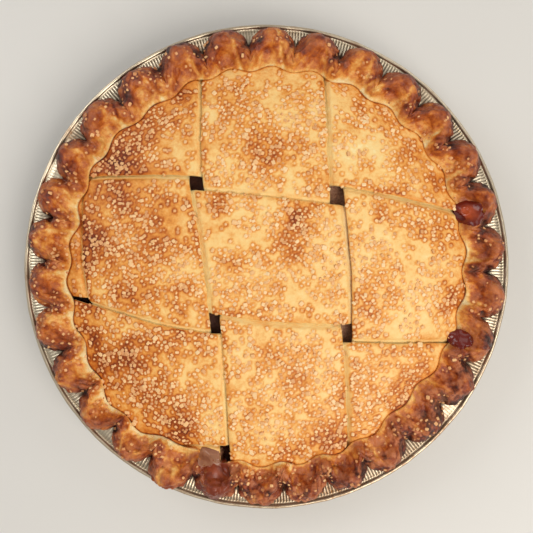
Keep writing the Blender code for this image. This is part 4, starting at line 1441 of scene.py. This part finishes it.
# %% Dough finishes
LATTICE_STOPS = (
    (0.00, srgb(255, 232, 170)),
    (0.12, srgb(253, 218, 147)),
    (0.28, srgb(253, 205, 127)),
    (0.44, srgb(238, 161, 73)),
    (0.60, srgb(204, 113, 36)),
    (0.75, srgb(160, 73, 16)),
    (0.88, srgb(120, 46, 12)),
    (1.00, srgb(72, 24, 12)),
)
RIM_STOPS = (
    (0.00, srgb(246, 222, 164)),
    (0.20, srgb(242, 190, 108)),
    (0.38, srgb(228, 150, 66)),
    (0.54, srgb(196, 106, 36)),
    (0.68, srgb(158, 70, 22)),
    (0.82, srgb(124, 50, 24)),
    (0.93, srgb(96, 36, 20)),
    (1.00, srgb(56, 18, 9)),
)


def lattice_sockets(wire):
    mottle = 0.32 * wire.noise(0.0055, 4.0) + 0.50 * wire.noise(0.0020, 5.0, 0.72, 3.0)
    bake_and_shade = wire.mark("bake_and_shade") + mottle
    grain = wire.noise(0.0010, 4.0, 0.65) + 0.9 * wire.noise(0.0030, 2.0, 0.5, 7.0)
    return {
        "Base Color": bake_and_shade.ramp(LATTICE_STOPS),
        "Roughness": 0.46 + 0.25 * wire.noise(0.004, 2.0, 0.5, 9.0),
        "Normal": grain.bump(0.75, 0.00040),
    }


def rim_sockets(wire):
    mottle = 0.38 * wire.noise(0.0042, 4.0) + 0.50 * wire.noise(0.0016, 4.0, 0.70, 3.0)
    bake_and_shade = wire.mark("bake_and_shade") + mottle
    grain = wire.noise(0.0011, 4.0, 0.65) + 1.0 * wire.noise(0.0028, 2.0, 0.5, 7.0)
    # The rosy tone is partly melted sugar and partly painted shade of the rim's near side
    rosy = (0.35 + wire.mark("dull_and_shaded")) * (wire.noise(0.0050, 3.0, 0.6, 11.0) + 0.5).eased(0.42, 0.60)
    rosy = rosy * bake_and_shade.eased(0.30, 0.45) * (1 - 0.7 * bake_and_shade.eased(0.75, 0.95))
    glaze = wire.mark("glaze")
    dough = rosy.mix(bake_and_shade.ramp(RIM_STOPS), srgb(196, 117, 72))
    return {
        "Base Color": (0.85 * glaze).mix(dough, srgb(116, 46, 28)),
        "Roughness": 0.42 + 0.25 * wire.noise(0.004, 2.0, 0.5, 9.0) - 0.22 * glaze,
        "Normal": grain.bump(0.85, 0.00050),
    }


lattice_finish = new_finish("baked_lattice", {"Specular IOR Level": 0.32}, lattice_sockets)
rim_finish = new_finish("browned_rim", {"Specular IOR Level": 0.45}, rim_sockets)
for piece in strip_pieces.values():
    dress(piece, lattice_finish)
dress(crust_piece, rim_finish)
print("dough finishes:", lattice_finish.name, "and", rim_finish.name)

# %% [markdown]
# ## Sugar, syrup, filling and foil
# Sugar that went through the oven is cloudy, and takes the gold of the crust under it; each crystal is
# darker towards its foot, partly melted sugar and partly painted shade. Set syrup is dark, smooth and
# glossy. The filling is the same syrup with pulp in it, its left half painted darker as shade. Foil is
# bare metal, soiled here and there by butter and juice that ran over it; its warm tint and its dark
# pleat stripes are painted reflection and shade, and so is part of the soil at the near right.

# %% The other finishes


def sugar_sockets(wire):
    stops = (
        (0.00, srgb(162, 92, 52)),
        (0.35, srgb(217, 149, 93)),
        (0.65, srgb(246, 195, 133)),
        (1.00, srgb(255, 226, 174)),
    )
    shade = 0.27 + 0.64 * wire.mark("shade") + 0.3 * wire.noise(0.0006)
    return {"Base Color": shade.ramp(stops)}


def syrup_sockets(wire):
    cloud = wire.mark("core").eased(0.15, 0.75) * (wire.noise(0.005, 2.0) + 0.9).eased(0.3, 1.1)
    return {
        "Base Color": cloud.mix(srgb(104, 24, 10), srgb(190, 84, 44)),
        "Normal": wire.noise(0.0045, 1.0).bump(0.05, 0.0003),
    }


def film_sockets(wire):
    cloud = (wire.noise(0.004, 3.0) + 0.5).eased(0.3, 0.7)
    return {
        "Base Color": cloud.mix(srgb(112, 44, 22), srgb(146, 66, 34)),
        "Normal": wire.noise(0.0022, 3.0).bump(0.35, 0.0004),
    }


def thin_sockets(wire):
    cloud = (wire.noise(0.004, 3.0) + 0.5).eased(0.3, 0.7)
    return {"Base Color": cloud.mix(srgb(136, 84, 60), srgb(162, 114, 86))}


def filling_sockets(wire):
    pulp = (wire.noise(0.0009, 4.0, 0.7) + 0.5).eased(0.3, 0.75)
    apple = pulp.mix(srgb(140, 94, 72), srgb(200, 152, 118))
    return {
        # The dark colour of the left half is painted shade
        "Base Color": wire.mark("left_shade").mix(apple, srgb(66, 26, 20)),
        "Normal": wire.noise(0.0007, 3.0, 0.6).bump(0.5, 0.0003),
    }


def foil_sockets(wire):
    stain = (wire.noise(0.020, 3.0, 0.6) + 0.5).eased(0.52, 0.70)
    speck = (wire.noise(0.0016, 3.0, 0.6, 5.0) + 0.5).eased(0.40, 0.75)
    # Soil is partly painted shade at the near right
    soil = stain * (0.35 + 0.65 * speck) + wire.mark("soil_and_shade") * (0.45 + 0.9 * speck)
    soil = soil * wire.mark("flange")
    # The pleat mark paints every other half pleat dark: painted shade and reflection in the pleats
    fold = wire.mark("pleat").eased(0.30, 0.85)
    # The warm tint of the bare metal is painted reflection of the crust
    metal = (0.85 * soil).mix(srgb(228, 212, 184), srgb(156, 102, 48))
    dents = wire.noise(0.0060, 3.0, 0.6, 2.0) + 0.5 * wire.noise(0.0016, 3.0, 0.6, 8.0)
    return {
        "Base Color": (0.90 * fold).mix(metal, srgb(74, 52, 34)),
        "Roughness": 0.34 + 0.16 * soil,
        "Metallic": 1.0 - 0.40 * soil,
        "Normal": dents.bump(0.20, 0.0003),
    }


CLOUDY = {"Roughness": 0.42, "Specular IOR Level": 0.5}
GLOSSY = {"Roughness": 0.20, "Specular IOR Level": 0.5}
CLINGING = {"Roughness": 0.36, "Specular IOR Level": 0.4}
JAMMY = {"Roughness": 0.55, "Specular IOR Level": 0.2}
sugar_finish = new_finish("toasted_sugar", CLOUDY, sugar_sockets)
syrup_finish = new_finish("set_syrup", GLOSSY, syrup_sockets)
film_finish = new_finish("syrup_film", CLINGING, film_sockets)
thin_finish = new_finish("thin_syrup", {"Roughness": 0.34}, thin_sockets)
filling_finish = new_finish("jammy_apples", JAMMY, filling_sockets)
foil_finish = new_finish("pleated_foil", {}, foil_sockets)
dress(sugar_piece, sugar_finish)
dress(filling_piece, filling_finish)
dress(pan_piece, foil_finish)
for name, piece in juice_pieces.items():
    dress(piece, film_finish if name == "juice_bottom" else syrup_finish)
dress(film_piece, thin_finish)
print("finishes:", [finish.name for finish in bpy.data.materials])

# %% [markdown]
# ## Riding on the frame
# Every piece rides on the root body, and the frame's solid that it stands for is hidden. Sugar and
# the thin film stand for no solid: they lie on the pieces that do.

# %% Bodies and solids


def place_piece(piece, slot, *nodes):
    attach(piece, "root")
    if nodes:
        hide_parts(*nodes)


for name, piece in strip_pieces.items():
    place_piece(piece, "lattice_pastry", name)
for name, piece in juice_pieces.items():
    place_piece(piece, "syrup", name)
place_piece(crust_piece, "rim_pastry", "crust_shell")
place_piece(filling_piece, "filling", "filling")
place_piece(pan_piece, "foil", "foil_pan")
place_piece(sugar_piece, "lattice_pastry")
place_piece(film_piece, "syrup")
standing = [*strip_pieces.values(), *juice_pieces.values(), crust_piece, filling_piece, pan_piece]
print(len(standing), "pieces stand for a solid; the sugar and the film lie on them")

# %% [markdown]
# ## Floor and light
# The pie stands on a plain pale floor under soft studio light: a broad key from the near right, a
# weaker one across from it, a faint one from the far right, and an even surround that fills the
# shadows. Foil shows what is around it, so the surround is darker than the three lights.

# %% Floor, lights and surround
FLOOR_HALF = 1.5
# Name, place, size, power and colour of each light
LIGHTS = (
    ("key", (0.35, -0.40, 0.75), 0.55, 5.1, (1.0, 0.96, 0.91)),
    ("cross", (-0.55, 0.35, 0.60), 0.45, 1.9, (0.96, 0.98, 1.0)),
    ("back", (0.42, 0.50, 0.55), 0.50, 0.9, (1.0, 0.98, 0.95)),
)
SURROUND_COLOUR = (1.0, 0.98, 0.95, 1.0)
SURROUND_STRENGTH = 0.32


def floor_sockets(wire):
    tone = (wire.noise(0.25, 2.0) + 0.5).eased(0.2, 0.8)
    return {"Base Color": tone.mix(srgb(222, 219, 213), srgb(228, 225, 219))}


def area_light(name, place, size, power, colour):
    lamp = bpy.data.lights.new(name, "AREA")
    lamp.shape = "SQUARE"
    lamp.size = size
    lamp.energy = power
    lamp.color = colour
    holder = bpy.data.objects.new(name, lamp)
    holder.location = place
    holder.rotation_euler = Vector(place).to_track_quat("Z", "Y").to_euler()
    bpy.context.scene.collection.objects.link(holder)


floor_mesh = bpy.data.meshes.new("floor")
corners = [(sx * FLOOR_HALF, sy * FLOOR_HALF, 0.0) for sx, sy in ((-1, -1), (1, -1), (1, 1), (-1, 1))]
floor_mesh.from_pydata(corners, [], [(0, 1, 2, 3)])
floor = bpy.data.objects.new("floor", floor_mesh)
bpy.context.scene.collection.objects.link(floor)
dress(floor, new_finish("pale_floor", {"Roughness": 0.7}, floor_sockets))

for light in LIGHTS:
    area_light(*light)
surround = bpy.data.worlds.new("surround")
surround.use_nodes = True
background = surround.node_tree.nodes["Background"]
background.inputs["Color"].default_value = SURROUND_COLOUR
background.inputs["Strength"].default_value = SURROUND_STRENGTH
bpy.context.scene.world = surround
bpy.context.scene.view_settings.view_transform = "Standard"
print("lights:", [light[0] for light in LIGHTS])
